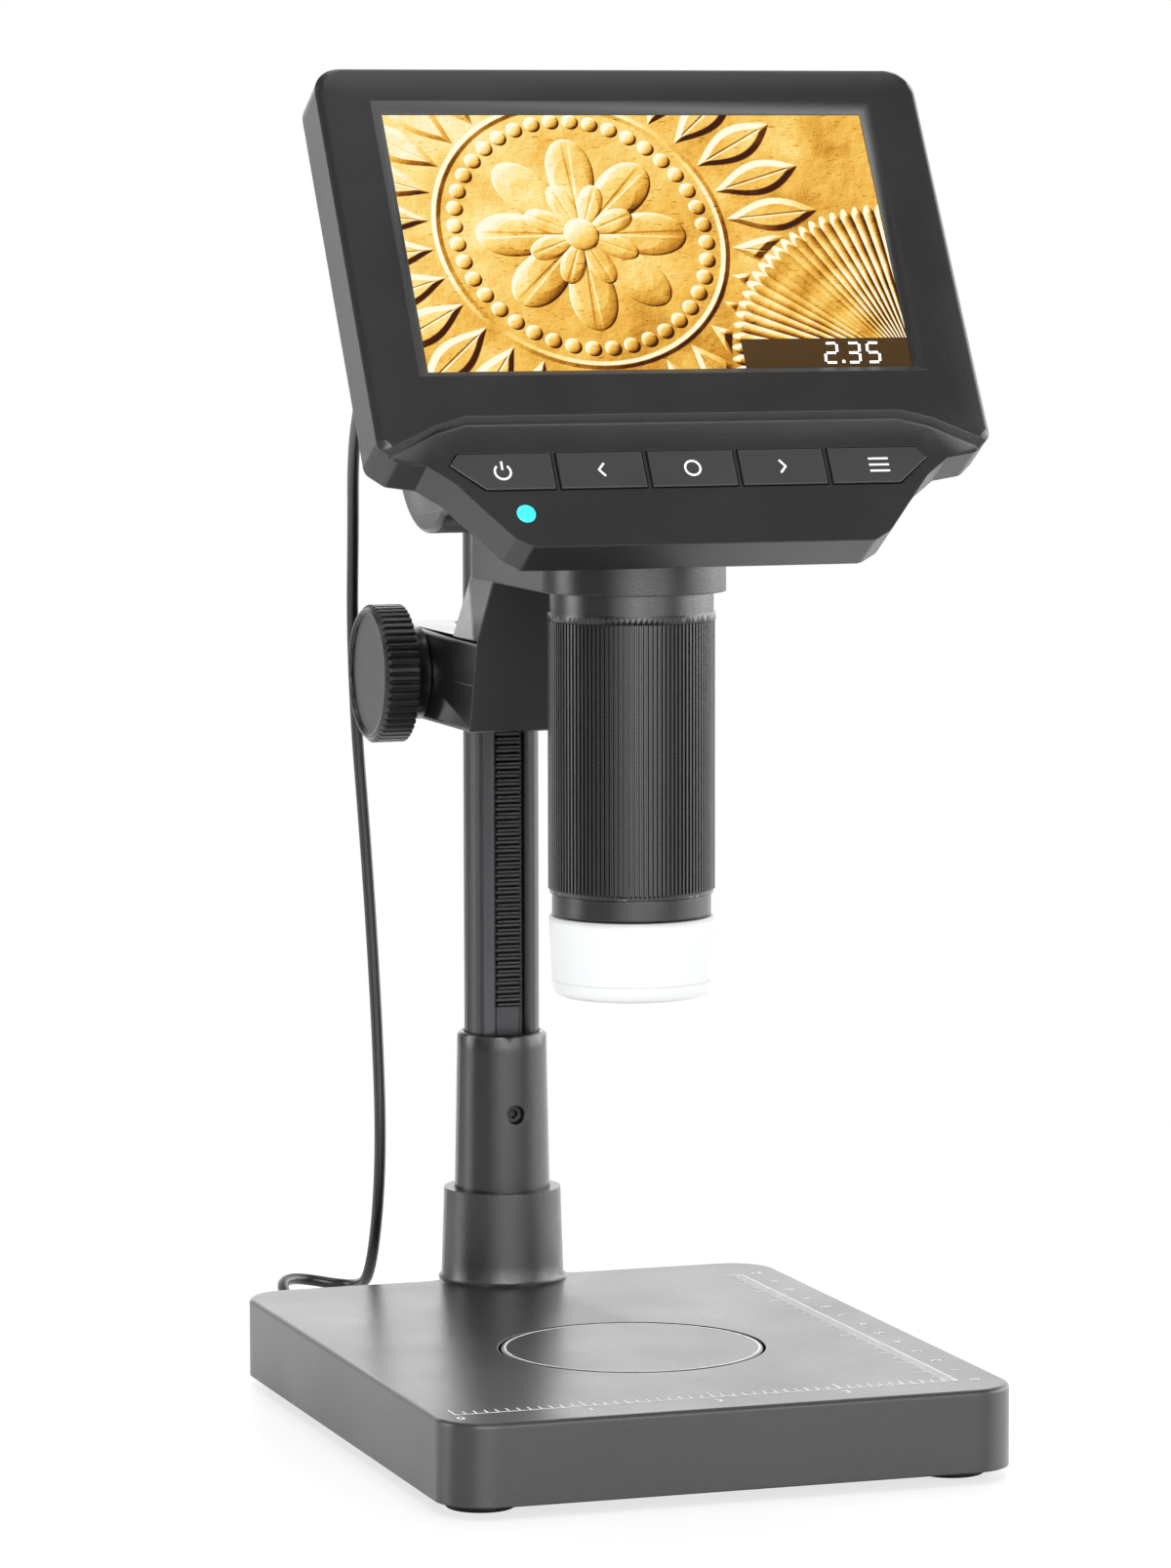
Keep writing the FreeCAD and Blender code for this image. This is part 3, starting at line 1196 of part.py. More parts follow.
def head_point(across, up, out):
    """A point of the head's frame in the stand's frame."""
    turn = math.radians(number(HEAD_TURN))
    y = number(up) * math.cos(turn) - number(out) * math.sin(turn) - number(size("head_lead"))
    z = number(up) * math.sin(turn) + number(out) * math.cos(turn) + number(size("head_level"))
    return number(across), y, z


def build_buttons():
    """Five push buttons with flanges behind the panel."""
    names = ("power_button", "back_button", "select_button", "forward_button", "menu_button")
    flange_front = PANEL - size("face_wall") - 0.4
    for index, name in enumerate(names):
        body = new_body(name)
        cap = new_sketch(body, "XY_Plane", flange_front)
        draw_polygon(cap, button_outline(index, size("button_gap") / 2))
        pad(body, cap, size("face_wall") + 0.4 + size("button_proud"))
        soften(body, level_at(PANEL + size("button_proud")), 0.25)
        flange = new_sketch(body, "XY_Plane", flange_front - 0.6)
        draw_polygon(flange, button_outline(index, -size("button_gap") / 4))
        pad(body, flange, 0.6)
        place_on_head(body)


# Cord with a plug at each end


def cord_points():
    """The cord's route, from the plug behind the head to the plug behind the base."""
    out = number(HEAD_BACK - size("back_plate") - size("head_plug_length"))
    start = Vector(*head_point(SOCKET_X, size("socket_rise"), out))
    first = Vector(*head_point(SOCKET_X, size("socket_rise"), out - 14))
    end_y = number(COLUMN_Y + size("base_plug_length"))
    end = Vector(number(JACK_X), end_y, number(BOARD_TOP + size("jack_height") / 2))
    hanging = [
        (-41.2, 27.5, 203.0), (-36.8, 48.0, 191.0), (-31.8, 65.0, 174.0), (-29.2, 75.0, 155.0),
        (-27.2, 79.5, 134.0), (-25.2, 80.5, 112.0), (-23.4, 81.5, 89.0), (-22.0, 82.2, 66.0),
        (-21.5, 82.0, 46.0), (-21.6, 84.2, 29.0),
    ]
    turning = [
        (17.7, 11.8, 4.65), (17.5, 19.3, 1.65), (14.2, 23.8, 1.25), (8.9, 25.5, 2.25),
        (3.8, 23.6, 3.25), (0.4, 19.3, 2.85), (0.0, 10.0, 0.0),
    ]
    route = [Vector(*p) for p in hanging] + [end + Vector(*p) for p in turning]
    return [start, first] + route + [end]


def rounded_route(points):
    """Straight runs joined by tangent arcs, and the arcs' radii."""
    edges, radii = [], []
    here = points[0]
    for before, corner, after in zip(points, points[1:], points[2:]):
        back, ahead = before - corner, after - corner
        runs = back.Length, ahead.Length
        turn = math.pi - back.getAngle(ahead)
        trim = 0.45 * min(runs)
        radii.append(trim / math.tan(turn / 2))
        start = corner + back * (trim / runs[0])
        stop = corner + ahead * (trim / runs[1])
        middle_way = (back * (1 / runs[0]) + ahead * (1 / runs[1])).normalize()
        gap = radii[-1] / math.cos(turn / 2) - radii[-1]
        edges.append(Part.LineSegment(here, start).toShape())
        edges.append(Part.Arc(start, corner + middle_way * gap, stop).toShape())
        here = stop
    edges.append(Part.LineSegment(here, points[-1]).toShape())
    return Part.Wire(edges), radii


def build_cord():
    """The signal cord as a tube along its route, and the moulded plugs."""
    points = cord_points()
    route, radii = rounded_route(points)
    radius = number(size("cord_radius"))
    way = points[1] - points[0]
    ring = Part.Wire(Part.Circle(points[0], way, radius).toShape())
    tube = route.makePipeShell([ring], True, False)
    print("cord length %.1f, volume %.1f, section times length %.1f" % (
        route.Length, tube.Volume, math.pi * radius ** 2 * route.Length))
    print("cord radii", " ".join("%.1f" % r for r in radii))
    set_shape("signal_cord", tube)
    wide, slim = size("plug_radius"), size("cord_radius") + 0.6
    for name, length in (("head_plug", size("head_plug_length")), ("base_plug", size("base_plug_length"))):
        profile = [(0, 0), (wide - 0.5, 0), (wide, 0.5), (wide, length * 0.5), (wide - 1.2, length * 0.6),
                   (slim + 0.3, length * 0.66), (slim, length), (0, length)]
        plug = turned_body(name, profile, (0, 0, 0))
        if name == "head_plug":
            out = number(HEAD_BACK - size("back_plate")) - 0.0
            at = head_point(SOCKET_X, size("socket_rise"), out)
            place(plug, at, (1, 0, 0), HEAD_TURN + 180)
        else:
            at = (JACK_X, COLUMN_Y, BOARD_TOP + size("jack_height") / 2)
            place(plug, at, (1, 0, 0), -90)


def write_parts():
    """Check every object and write each piece to its own file."""
    doc.recompute()
    helpers = ("rear_shell_form", "rear_shell_neck", "rear_shell_joined", "rear_shell_cavity")
    bad = [o.Label for o in doc.Objects if {"Invalid", "Error"} & set(o.State)]
    if bad:
        raise RuntimeError("failed objects: " + ", ".join(bad))
    os.makedirs("parts", exist_ok=True)
    kinds = ("PartDesign::Body", "Part::Feature", "Part::Cut")
    pieces = [o for o in doc.Objects if o.TypeId in kinds and o.Label not in helpers]
    for piece in pieces:
        shape = piece.Shape
        if shape.isNull() or not shape.isValid() or not shape.Solids:
            bad.append(piece.Label)
        elif piece.TypeId == "PartDesign::Body" and len(shape.Solids) != 1:
            bad.append(piece.Label + " in pieces")
    if bad:
        raise RuntimeError("bad shapes: " + ", ".join(bad))
    for piece in pieces:
        piece.Shape.exportStep("parts/%s.step" % piece.Label)
    print("%d pieces written" % len(pieces))


build_base_shell()
build_base_cover()
build_base_fillings()
build_pan()
build_column()
build_rack()
build_pinion()
build_arm()
build_housing_cover()
build_focus_fittings()
build_tube()
build_front_shell()
build_rear_shell()
build_head_fillings()
build_buttons()
build_cord()
write_parts()
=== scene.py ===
"""A digital microscope with a tilted screen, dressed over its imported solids.

The solids keep their shapes. This script gives them finishes, smooths their curved skins, and adds
what is printed or lit: two rulers, the ring on the pan, key symbols, the screen's picture and the cord.
"""
import logging
import math
from dataclasses import dataclass
from enum import Enum
from typing import Any, Callable, Iterable, Sequence

import bmesh
import bpy
from mathutils import Matrix, Vector


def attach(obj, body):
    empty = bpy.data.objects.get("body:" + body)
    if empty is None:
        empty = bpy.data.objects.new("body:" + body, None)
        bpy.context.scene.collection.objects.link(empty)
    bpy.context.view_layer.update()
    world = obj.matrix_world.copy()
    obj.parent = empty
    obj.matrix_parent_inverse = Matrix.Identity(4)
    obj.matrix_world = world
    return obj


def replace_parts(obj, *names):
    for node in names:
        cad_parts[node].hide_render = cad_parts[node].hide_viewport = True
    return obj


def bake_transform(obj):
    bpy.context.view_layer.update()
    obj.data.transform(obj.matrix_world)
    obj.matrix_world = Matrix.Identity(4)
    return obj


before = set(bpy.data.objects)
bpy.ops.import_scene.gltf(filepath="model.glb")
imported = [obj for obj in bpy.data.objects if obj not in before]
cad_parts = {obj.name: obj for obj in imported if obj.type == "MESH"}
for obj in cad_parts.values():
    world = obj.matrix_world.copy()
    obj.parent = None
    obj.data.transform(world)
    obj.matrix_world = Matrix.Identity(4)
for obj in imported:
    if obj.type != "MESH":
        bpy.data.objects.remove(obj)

LOG = logging.getLogger("microscope")
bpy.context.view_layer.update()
MM = 0.001
Point = Sequence[float]
Colour = tuple[float, float, float]


def linear(red: int, green: int, blue: int) -> Colour:
    """Turn display values from 0 to 255 into linear light."""
    shares = (red / 255, green / 255, blue / 255)
    return tuple(((v + 0.055) / 1.055) ** 2.4 if v > 0.04 else v / 12.92 for v in shares)


class Body(Enum):
    """Moving bodies of the model that pieces ride on."""

    STAND = "stand"
    CARRIAGE = "carriage"
    PAN = "weighing_pan"
    SHAFT = "focus_shaft"
    RING = "focus_ring"
    LENS = "lens_slider"
    POWER = "power_key"
    BACK = "back_key"
    SELECT = "select_key"
    FORWARD = "forward_key"
    MENU = "menu_key"


class Slot(Enum):
    """Material slots of the record."""

    GREY = "grey_plastic"
    DARK = "dark_plastic"
    RUBBER = "foot_rubber"
    CORD = "cord_rubber"
    COLUMN = "column_aluminium"
    STEEL = "steel"
    BRASS = "bush_brass"
    BOARD = "board_green"
    FROSTED = "frosted_white"
    GLASS = "clear_glass"
    DISPLAY = "display"
    LIGHT = "light_cyan"
    BATTERY = "battery_wrap"


class Sock:
    """A node's output that takes part in Python expressions."""

    def __init__(self, tree: "Tree", socket: Any) -> None:
        """Keep the tree and the output socket."""
        self.tree = tree
        self.socket = socket

    def maths(self, operation: str, *others: Any) -> "Sock":
        """Add a Math node with this value first.

        Args:
            operation: The Math node's operation.
            others: Further values or links.

        Returns:
            The node's result.
        """
        inputs = dict(enumerate((self, *others)))
        return self.tree.node("ShaderNodeMath", {"operation": operation}, inputs)

    def __add__(self, other: Any) -> "Sock":
        """Sum."""
        return self.maths("ADD", other)

    def __sub__(self, other: Any) -> "Sock":
        """Difference."""
        return self.maths("SUBTRACT", other)

    def __mul__(self, other: Any) -> "Sock":
        """Product."""
        return self.maths("MULTIPLY", other)

    def __truediv__(self, other: Any) -> "Sock":
        """Quotient."""
        return self.maths("DIVIDE", other)

    def __rsub__(self, other: float) -> "Sock":
        """A number less this value."""
        return self.tree.number(other).maths("SUBTRACT", self)

    __radd__ = __add__
    __rmul__ = __mul__

    def limit(self) -> "Sock":
        """Keep the value from 0 to 1.

        Returns:
            The value after a node whose own clamp is on.
        """
        kept = self.maths("ADD", 0.0)
        kept.socket.node.use_clamp = True
        return kept

    def ramp(self, low: float, high: float) -> "Sock":
        """Rise smoothly.

        Args:
            low: Where the result is 0.
            high: Where the result is 1.

        Returns:
            The result, from 0 to 1.
        """
        settings = {"interpolation_type": "SMOOTHSTEP"}
        return self.tree.node("ShaderNodeMapRange", settings, {0: self, 1: low, 2: high})


class Tree:
    """A node tree that is written as expressions."""

    def __init__(self, tree: Any) -> None:
        """Keep the tree to which nodes are added."""
        self.tree = tree

    def node(self, kind: str, settings: dict | None = None, inputs: dict | None = None,
             output: int | str = 0) -> Sock:
        """Add any node.

        Args:
            kind: The node's type.
            settings: Attributes, set first.
            inputs: Values or links by the socket's name or number.
            output: The output that is given back.

        Returns:
            The chosen output.
        """
        made = self.tree.nodes.new(kind)
        for name, value in (settings or {}).items():
            setattr(made, name, value)
        for name, value in (inputs or {}).items():
            socket = made.inputs[name]
            if isinstance(value, Sock):
                self.tree.links.new(value.socket, socket)
            else:
                socket.default_value = value
        return Sock(self, made.outputs[output] if made.outputs else None)

    def number(self, value: float) -> Sock:
        """A plain number as a link."""
        return self.node("ShaderNodeMath", {"operation": "ADD"}, {0: value, 1: 0.0})


class Surface(Tree):
    """A material with one principled shader."""

    def __init__(self, name: str) -> None:
        """Start an empty material of that name."""
        self.material = bpy.data.materials.new(name)
        self.material.use_nodes = True
        super().__init__(self.material.node_tree)
        self.tree.nodes.clear()

    def place(self) -> Sock:
        """Object coordinates."""
        return self.node("ShaderNodeTexCoord", output="Object")

    def noise(self, where: Sock, scale: float, detail: float = 2.0) -> Sock:
        """Noise of a given fineness."""
        return self.node("ShaderNodeTexNoise", {}, {"Vector": where, "Scale": scale, "Detail": detail})

    def stretched(self, where: Sock, scale: Point) -> Sock:
        """Coordinates scaled along each axis."""
        return self.node("ShaderNodeMapping", {}, {"Vector": where, "Scale": scale})

    def colour(self, value: Colour) -> tuple:
        """A colour with full alpha."""
        return (*value, 1.0)

    def mix(self, factor: Sock, low: Colour, high: Colour) -> Sock:
        """Blend two colours.

        Args:
            factor: The share of the second colour.
            low: The first colour.
            high: The second colour.

        Returns:
            The blend.
        """
        inputs = {0: factor, 6: self.colour(low), 7: self.colour(high)}
        return self.node("ShaderNodeMix", {"data_type": "RGBA"}, inputs, 2)

    def edges(self, radius: float) -> tuple[Sock, Sock]:
        """Rounded edges in shading.

        Args:
            radius: The rounding in metres.

        Returns:
            The rounded normal, and a mask that is 1 on edges.
        """
        soft = self.node("ShaderNodeBevel", {"samples": 4}, {"Radius": radius})
        flat = self.node("ShaderNodeNewGeometry", output="Normal")
        dot = self.node("ShaderNodeVectorMath", {"operation": "DOT_PRODUCT"}, {0: soft, 1: flat}, "Value")
        return soft, (1.0 - dot).ramp(0.01, 0.22)

    def bump(self, height: Sock, distance: float, normal: Sock | None = None) -> Sock:
        """Turn a height into a normal.

        Args:
            height: A height from 0 to 1.
            distance: What a height of 1 measures, in metres.
            normal: A normal to start from.

        Returns:
            The bumped normal.
        """
        inputs = {"Height": height, "Distance": distance, "Strength": 1.0}
        if normal:
            inputs["Normal"] = normal
        return self.node("ShaderNodeBump", {}, inputs)

    def finish(self, **values: Any) -> bpy.types.Material:
        """Close the material with its shader.

        Args:
            values: Socket values, with underscores for spaces.

        Returns:
            The material.
        """
        inputs = {name.replace("_", " "): value for name, value in values.items()}
        shader = self.node("ShaderNodeBsdfPrincipled", {}, inputs)
        self.node("ShaderNodeOutputMaterial", {"target": "ALL"}, {"Surface": shader})
        return self.material


@dataclass(frozen=True)
class Plastic:
    """Moulded plastic with a fine grain, and edges painted paler: partly wear, partly a painted highlight.
    """

    name: str
    tint: Colour
    roughness: float = 0.42
    grain: float = 0.00002
    fineness: float = 2300.0
    # How far the edges are painted paler, as wear and as a painted highlight.
    wear_and_sheen: float = 0.14
    rounding: float = 0.0005
    coat: float = 0.0

    def build(self) -> bpy.types.Material:
        """Make the material."""
        s = Surface(self.name)
        where = s.place()
        normal, edge = s.edges(self.rounding)
        grain = s.noise(where, self.fineness)
        cloud = s.noise(where, 45.0, 4.0)
        pale = tuple(min(1.0, v * 1.9 + 0.02) for v in self.tint)
        # Edges painted paler, partly wear and partly a painted highlight; the cloud adds random tone.
        shade = (edge * self.wear_and_sheen + (cloud - 0.5) * 0.08).limit()
        rough = self.roughness + (cloud - 0.5) * 0.12 + (grain - 0.5) * 0.08
        return s.finish(Base_Color=s.mix(shade, self.tint, pale), Roughness=rough,
                        Normal=s.bump(grain, self.grain, normal), Coat_Weight=self.coat,
                        Coat_Roughness=0.25)


@dataclass(frozen=True)
class Metal:
    """Worked metal, with a grain along one axis and edges painted paler as a highlight."""

    name: str
    tint: Colour
    roughness: float = 0.3
    metallic: float = 1.0
    along: tuple[float, float, float] = (900.0, 900.0, 60.0)

    def build(self) -> bpy.types.Material:
        """Make the material."""
        s = Surface(self.name)
        where = s.place()
        normal, edge = s.edges(0.0003)
        lines = s.noise(s.stretched(where, self.along), 1.0, 3.0)
        pale = tuple(min(1.0, v * 1.7 + 0.03) for v in self.tint)
        rough = self.roughness + (lines - 0.5) * 0.22
        # Painted highlight: the edge mask makes the edges paler.
        return s.finish(Base_Color=s.mix((edge * 0.5).limit(), self.tint, pale), Roughness=rough,
                        Metallic=self.metallic, Normal=s.bump(lines, 0.000012, normal))


@dataclass(frozen=True)
class Lacquer:
    """A printed board: lacquer over copper tracks."""

    name: str = "board_lacquer"
    ground: Colour = linear(24, 84, 50)
    track: Colour = linear(46, 120, 72)

    def build(self) -> bpy.types.Material:
        """Make the material."""
        s = Surface(self.name)
        where = s.place()
        cells = s.node("ShaderNodeTexVoronoi", {"distance": "MANHATTAN"}, {"Vector": where, "Scale": 420.0})
        wide = s.noise(where, 70.0)
        tracks = (cells.ramp(0.42, 0.46) * wide.ramp(0.45, 0.5)).limit()
        return s.finish(Base_Color=s.mix(tracks, self.ground, self.track), Roughness=0.3 + wide * 0.1,
                        Normal=s.bump(tracks, 0.00004))


@dataclass(frozen=True)
class Glow:
    """A lit material: the status lamp, the display's back or the lit figures."""

    name: str
    tint: Colour
    strength: float
    roughness: float = 0.4

    def build(self) -> bpy.types.Material:
        """Make the material, a little uneven."""
        s = Surface(self.name)
        cloud = s.noise(s.place(), 160.0, 3.0)
        dim = tuple(v * 0.88 for v in self.tint)
        lit = s.mix(cloud.ramp(0.3, 0.7), dim, self.tint)
        return s.finish(Base_Color=s.colour(self.tint), Emission_Color=lit,
                        Emission_Strength=self.strength, Roughness=self.roughness + cloud * 0.1)


@dataclass(frozen=True)
class Frost:
    """Frosted white plastic with a painted glow, and a painted shade line where a ledge shows through its
    foot.
    """

    name: str = "frosted_hood"
    ledge: float = 0.0907
    ledge_half: float = 0.0003
    top: float = 0.1031
    rim: float = 0.0012
    # Strength of the painted glow.
    strength: float = 0.12

    def build(self) -> bpy.types.Material:
        """Make the material: a painted glow, painted shade at its ledge, and greyer at its rim."""
        s = Surface(self.name)
        where = s.place()
        z = Sock(s, s.node("ShaderNodeSeparateXYZ", {}, {0: where}).socket.node.outputs[2])
        cloud = s.noise(where, 220.0, 3.0)
        line = 1.0 - ((z - self.ledge).maths("ABSOLUTE") / self.ledge_half).limit()
        rim = z.ramp(self.top - self.rim, self.top)
        # Painted shade at the ledge, greyer towards the rim, and random tone; the painted glow dims with it
        # too.
        shade = (line * 0.35 + rim * 0.5 + (cloud - 0.5) * 0.06).limit()
        lit = s.mix(shade, (1.0, 1.0, 1.0), (0.45, 0.46, 0.47))
        skin = s.mix(shade, (0.86, 0.87, 0.88), (0.42, 0.43, 0.44))
        return s.finish(Base_Color=skin, Emission_Color=lit, Emission_Strength=self.strength,
                        Roughness=0.42 + cloud * 0.1, Normal=s.bump(cloud, 0.00002))


@dataclass(frozen=True)
class Ink:
    """Printed white ink."""

    name: str = "white_ink"
    tint: Colour = linear(248, 248, 246)

    def build(self) -> bpy.types.Material:
        """Make the material, thinner in places."""
        s = Surface(self.name)
        fade = s.noise(s.place(), 900.0, 3.0)
        worn = tuple(v * 0.85 for v in self.tint)
        return s.finish(Base_Color=s.mix(fade.ramp(0.25, 0.55), worn, self.tint), Roughness=0.55)


@dataclass(frozen=True)
class Clear:
    """Clear glass for the lens and the screen."""

    name: str = "clear_glass"

    def build(self) -> bpy.types.Material:
        """Make the material with a trace of dust in its roughness."""
        s = Surface(self.name)
        dust = s.noise(s.place(), 300.0, 3.0)
        return s.finish(Base_Color=(0.92, 0.95, 0.96, 1.0), Roughness=dust * 0.05, IOR=1.5,
                        Transmission_Weight=1.0)


@dataclass(frozen=True)
class GoldPicture:
    """What the screen shows: a struck golden ornament of flower, beads, leaves and fan."""

    name: str = "screen_picture"
    width: float = 97.0
    height: float = 56.1
    flower: tuple[float, float] = (-13.0, 1.5)
    petal_count: int = 8
    outer_reach: float = 21.0
    inner_reach: float = 11.5
    inner_turn: float = 0.39
    boss_square: float = 12.0
    bead_ring: float = 25.0
    bead_count: int = 40
    bead_size: float = 1.6
    line_radius: float = 28.6
    line_half: float = 0.9
    leaf_count: int = 30
    leaf_start: float = 30.0
    leaf_length: float = 19.0
    fan: tuple[float, float] = (50.0, -30.0)
    fan_reach: float = 36.0
    fan_rib: float = 1.8
    fan_waves: float = 46.0
    step: float = 0.22

    def polar(self, x: Sock, y: Sock, centre: Point) -> tuple[Sock, Sock]:
        """Turn a place into a distance and an angle.

        Args:
            x: Millimetres across from the picture's middle.
            y: Millimetres up from the picture's middle.
            centre: The point to measure from.

        Returns:
            The distance in millimetres and the angle in radians.
        """
        dx, dy = x - centre[0], y - centre[1]
        return (dx * dx + dy * dy).maths("SQRT"), dy.maths("ARCTAN2", dx)

    def beads(self, radius: Sock, angle: Sock) -> Sock:
        """Round beads in a ring.

        Args:
            radius: Distance from the flower's centre.
            angle: Angle about it.

        Returns:
            The height, from 0 to 1.
        """
        pitch = 2 * math.pi / self.bead_count
        across = ((angle / pitch).maths("FRACT").maths("ABSOLUTE") - 0.5) * (pitch * self.bead_ring)
        out = radius - self.bead_ring
        fall = 1.0 - (across * across + out * out) / (self.bead_size * self.bead_size)
        return fall.maths("MAXIMUM", 0.0).maths("SQRT")

    def petals(self, radius: Sock, angle: Sock, reach: float) -> Sock:
        """Domed petals round a centre, with a vein along each.

        Args:
            radius: Distance from the flower's centre.
            angle: Angle about it.
            reach: The petals' length in millimetres.

        Returns:
            The height.
        """
        wave = (angle * (self.petal_count / 2.0)).maths("COSINE").maths("ABSOLUTE")
        edge = (wave.maths("POWER", 0.7) * 0.5 + 0.5) * reach
        dome = ((edge - radius) / (reach * 0.2)).limit().maths("SQRT")
        vein = 1.0 - (1.0 - wave).ramp(0.0, 0.02)
        body = wave.maths("POWER", 0.45) * 0.7 + 0.3 - vein * 0.16
        return dome * body * (radius / reach * 0.35 + 0.75)

    def raised(self, shape: Sock, base: float) -> Sock:
        """Lift a shape on a base of its own outline."""
        return shape + (shape * 8.0).limit() * base

    def relief(self, x: Sock, y: Sock, wear_and_sheen: Sock) -> Sock:
        """Height of the struck surface.

        Args:
            x: Millimetres across from the middle.
            y: Millimetres up from the middle.
            wear_and_sheen: A shared fine noise.

        Returns:
            The height in about millimetres.
        """
        radius, angle = self.polar(x, y, self.flower)
        inner = self.petals(radius, angle + self.inner_turn, self.inner_reach) * 1.3
        outer = self.petals(radius, angle, self.outer_reach) * 1.9
        boss = (1.0 - radius * radius / self.boss_square).maths("MAXIMUM", 0.0).maths("SQRT") * 1.5
        flower = outer.maths("MAXIMUM", self.raised(inner, 1.3)).maths("MAXIMUM", self.raised(boss, 2.2))
        beads = self.beads(radius, angle + math.pi) * 1.6
        line = (1.0 - ((radius - self.line_radius).maths("ABSOLUTE") / self.line_half).limit()) * 1.2
        leaves = self.leaves(radius, angle) * 1.5
        far, turn = self.polar(x, y, self.fan)
        ribs = (turn * self.fan_waves).maths("SINE").maths("ABSOLUTE")
        scallop = self.fan_reach + ribs * self.fan_rib
        inside = ((scallop - far) / 1.4).limit()
        shell = inside * (ribs * 1.5 + 0.9) + (far * 0.9).maths("SINE") * 0.2 * inside
        rest = flower.maths("MAXIMUM", beads).maths("MAXIMUM", line).maths("MAXIMUM", leaves)
        mask = 1.0 - ((far - (self.fan_reach + self.fan_rib)) / 1.5).limit()
        return rest * (1.0 - mask) + shell + wear_and_sheen

    def leaves(self, radius: Sock, angle: Sock) -> Sock:
        """Pointed leaves that stand out from the ring.

        Args:
            radius: Distance from the flower's centre.
            angle: Angle about it.

        Returns:
            The height.
        """
        pitch = 2 * math.pi / self.leaf_count
        across = ((angle + math.pi) / pitch).maths("FRACT") - 0.5
        along = (radius - self.leaf_start) / self.leaf_length
        width = (along.limit() * math.pi).maths("SINE") * 0.44
        body = ((width - across.maths("ABSOLUTE")) / 0.16).limit()
        vein = (across.maths("ABSOLUTE") / 0.03).limit() * 0.3
        return body * 1.2 + vein * body

    def scratches(self, s: Surface, spot: Sock, turn: float, fineness: float) -> Sock:
        """Short hairlines that lie one way.

        Args:
            s: The material.
            spot: The place in millimetres.
            turn: The lines' turn in radians.
            fineness: How close they lie.

        Returns:
            A mask that is 1 in a line.
        """
        inputs = {"Vector": spot, "Rotation": (0.0, 0.0, turn), "Scale": (fineness * 0.16, fineness, 1.0)}
        laid = s.node("ShaderNodeMapping", {}, inputs)
        return s.noise(laid, 1.0, 1.0).ramp(0.69, 0.76)

    def lit(self, s: Surface, x: Sock, y: Sock) -> tuple[Sock, Sock]:
        """Compare the height with that a step nearer the light.

        Args:
            s: The material.
            x: Millimetres across from the middle.
            y: Millimetres up from the middle.

        Returns:
            The slope towards the light, and the height itself.
        """
        spots = [(x, y), (x + self.step, y - self.step)]
        heights = []
        for a, b in spots:
            place = s.node("ShaderNodeCombineXYZ", {}, {0: a, 1: b})
            wear_and_sheen = s.noise(place, 1.9, 4.0) * 0.1 + s.noise(place, 0.34, 4.0) * 0.5
            heights.append(self.relief(a, b, wear_and_sheen))
        return (heights[0] - heights[1]) / self.step, heights[0]

    def build(self) -> bpy.types.Material:
        """Make the material: relief lit from the upper left, toned as gold."""
        s = Surface(self.name)
        spot = s.node("ShaderNodeUVMap", {"uv_map": "UVMap"})
        split = s.node("ShaderNodeSeparateXYZ", {}, {0: spot})
        v = Sock(s, split.socket.node.outputs[1])
        x, y = (split - 0.5) * self.width, (v - 0.5) * self.height
        place = s.node("ShaderNodeCombineXYZ", {}, {0: x, 1: y})
        slope, height = self.lit(s, x, y)
        marks = self.scratches(s, place, 0.6, 2.6) + self.scratches(s, place, -0.9, 2.2)
        marks = marks + self.scratches(s, place, 1.9, 3.1)
        cloud = s.noise(place, 0.07, 3.0) - 0.5
        tone = 0.6 - slope * 0.3 + cloud * 0.7 + height * 0.03 - x * 0.0022 + y * 0.003
        tone = (tone - marks * 0.26).limit()
        ramp = s.node("ShaderNodeValToRGB", {}, {0: tone})
        stops = ((0.0, (62, 24, 4)), (0.2, (134, 76, 14)), (0.42, (206, 140, 38)),
                 (0.6, (246, 192, 84)), (0.78, (255, 228, 140)), (1.0, (255, 252, 224)))
        bar = ramp.socket.node.color_ramp
        for position, _ in stops[1:-1]:
            bar.elements.new(position)
        for element, (position, shade) in zip(bar.elements, stops):
            element.position = position
            element.color = s.colour(linear(*shade))
        return s.finish(Base_Color=(0.0, 0.0, 0.0, 1.0), Emission_Color=ramp, Emission_Strength=1.0,
                        Roughness=0.12)


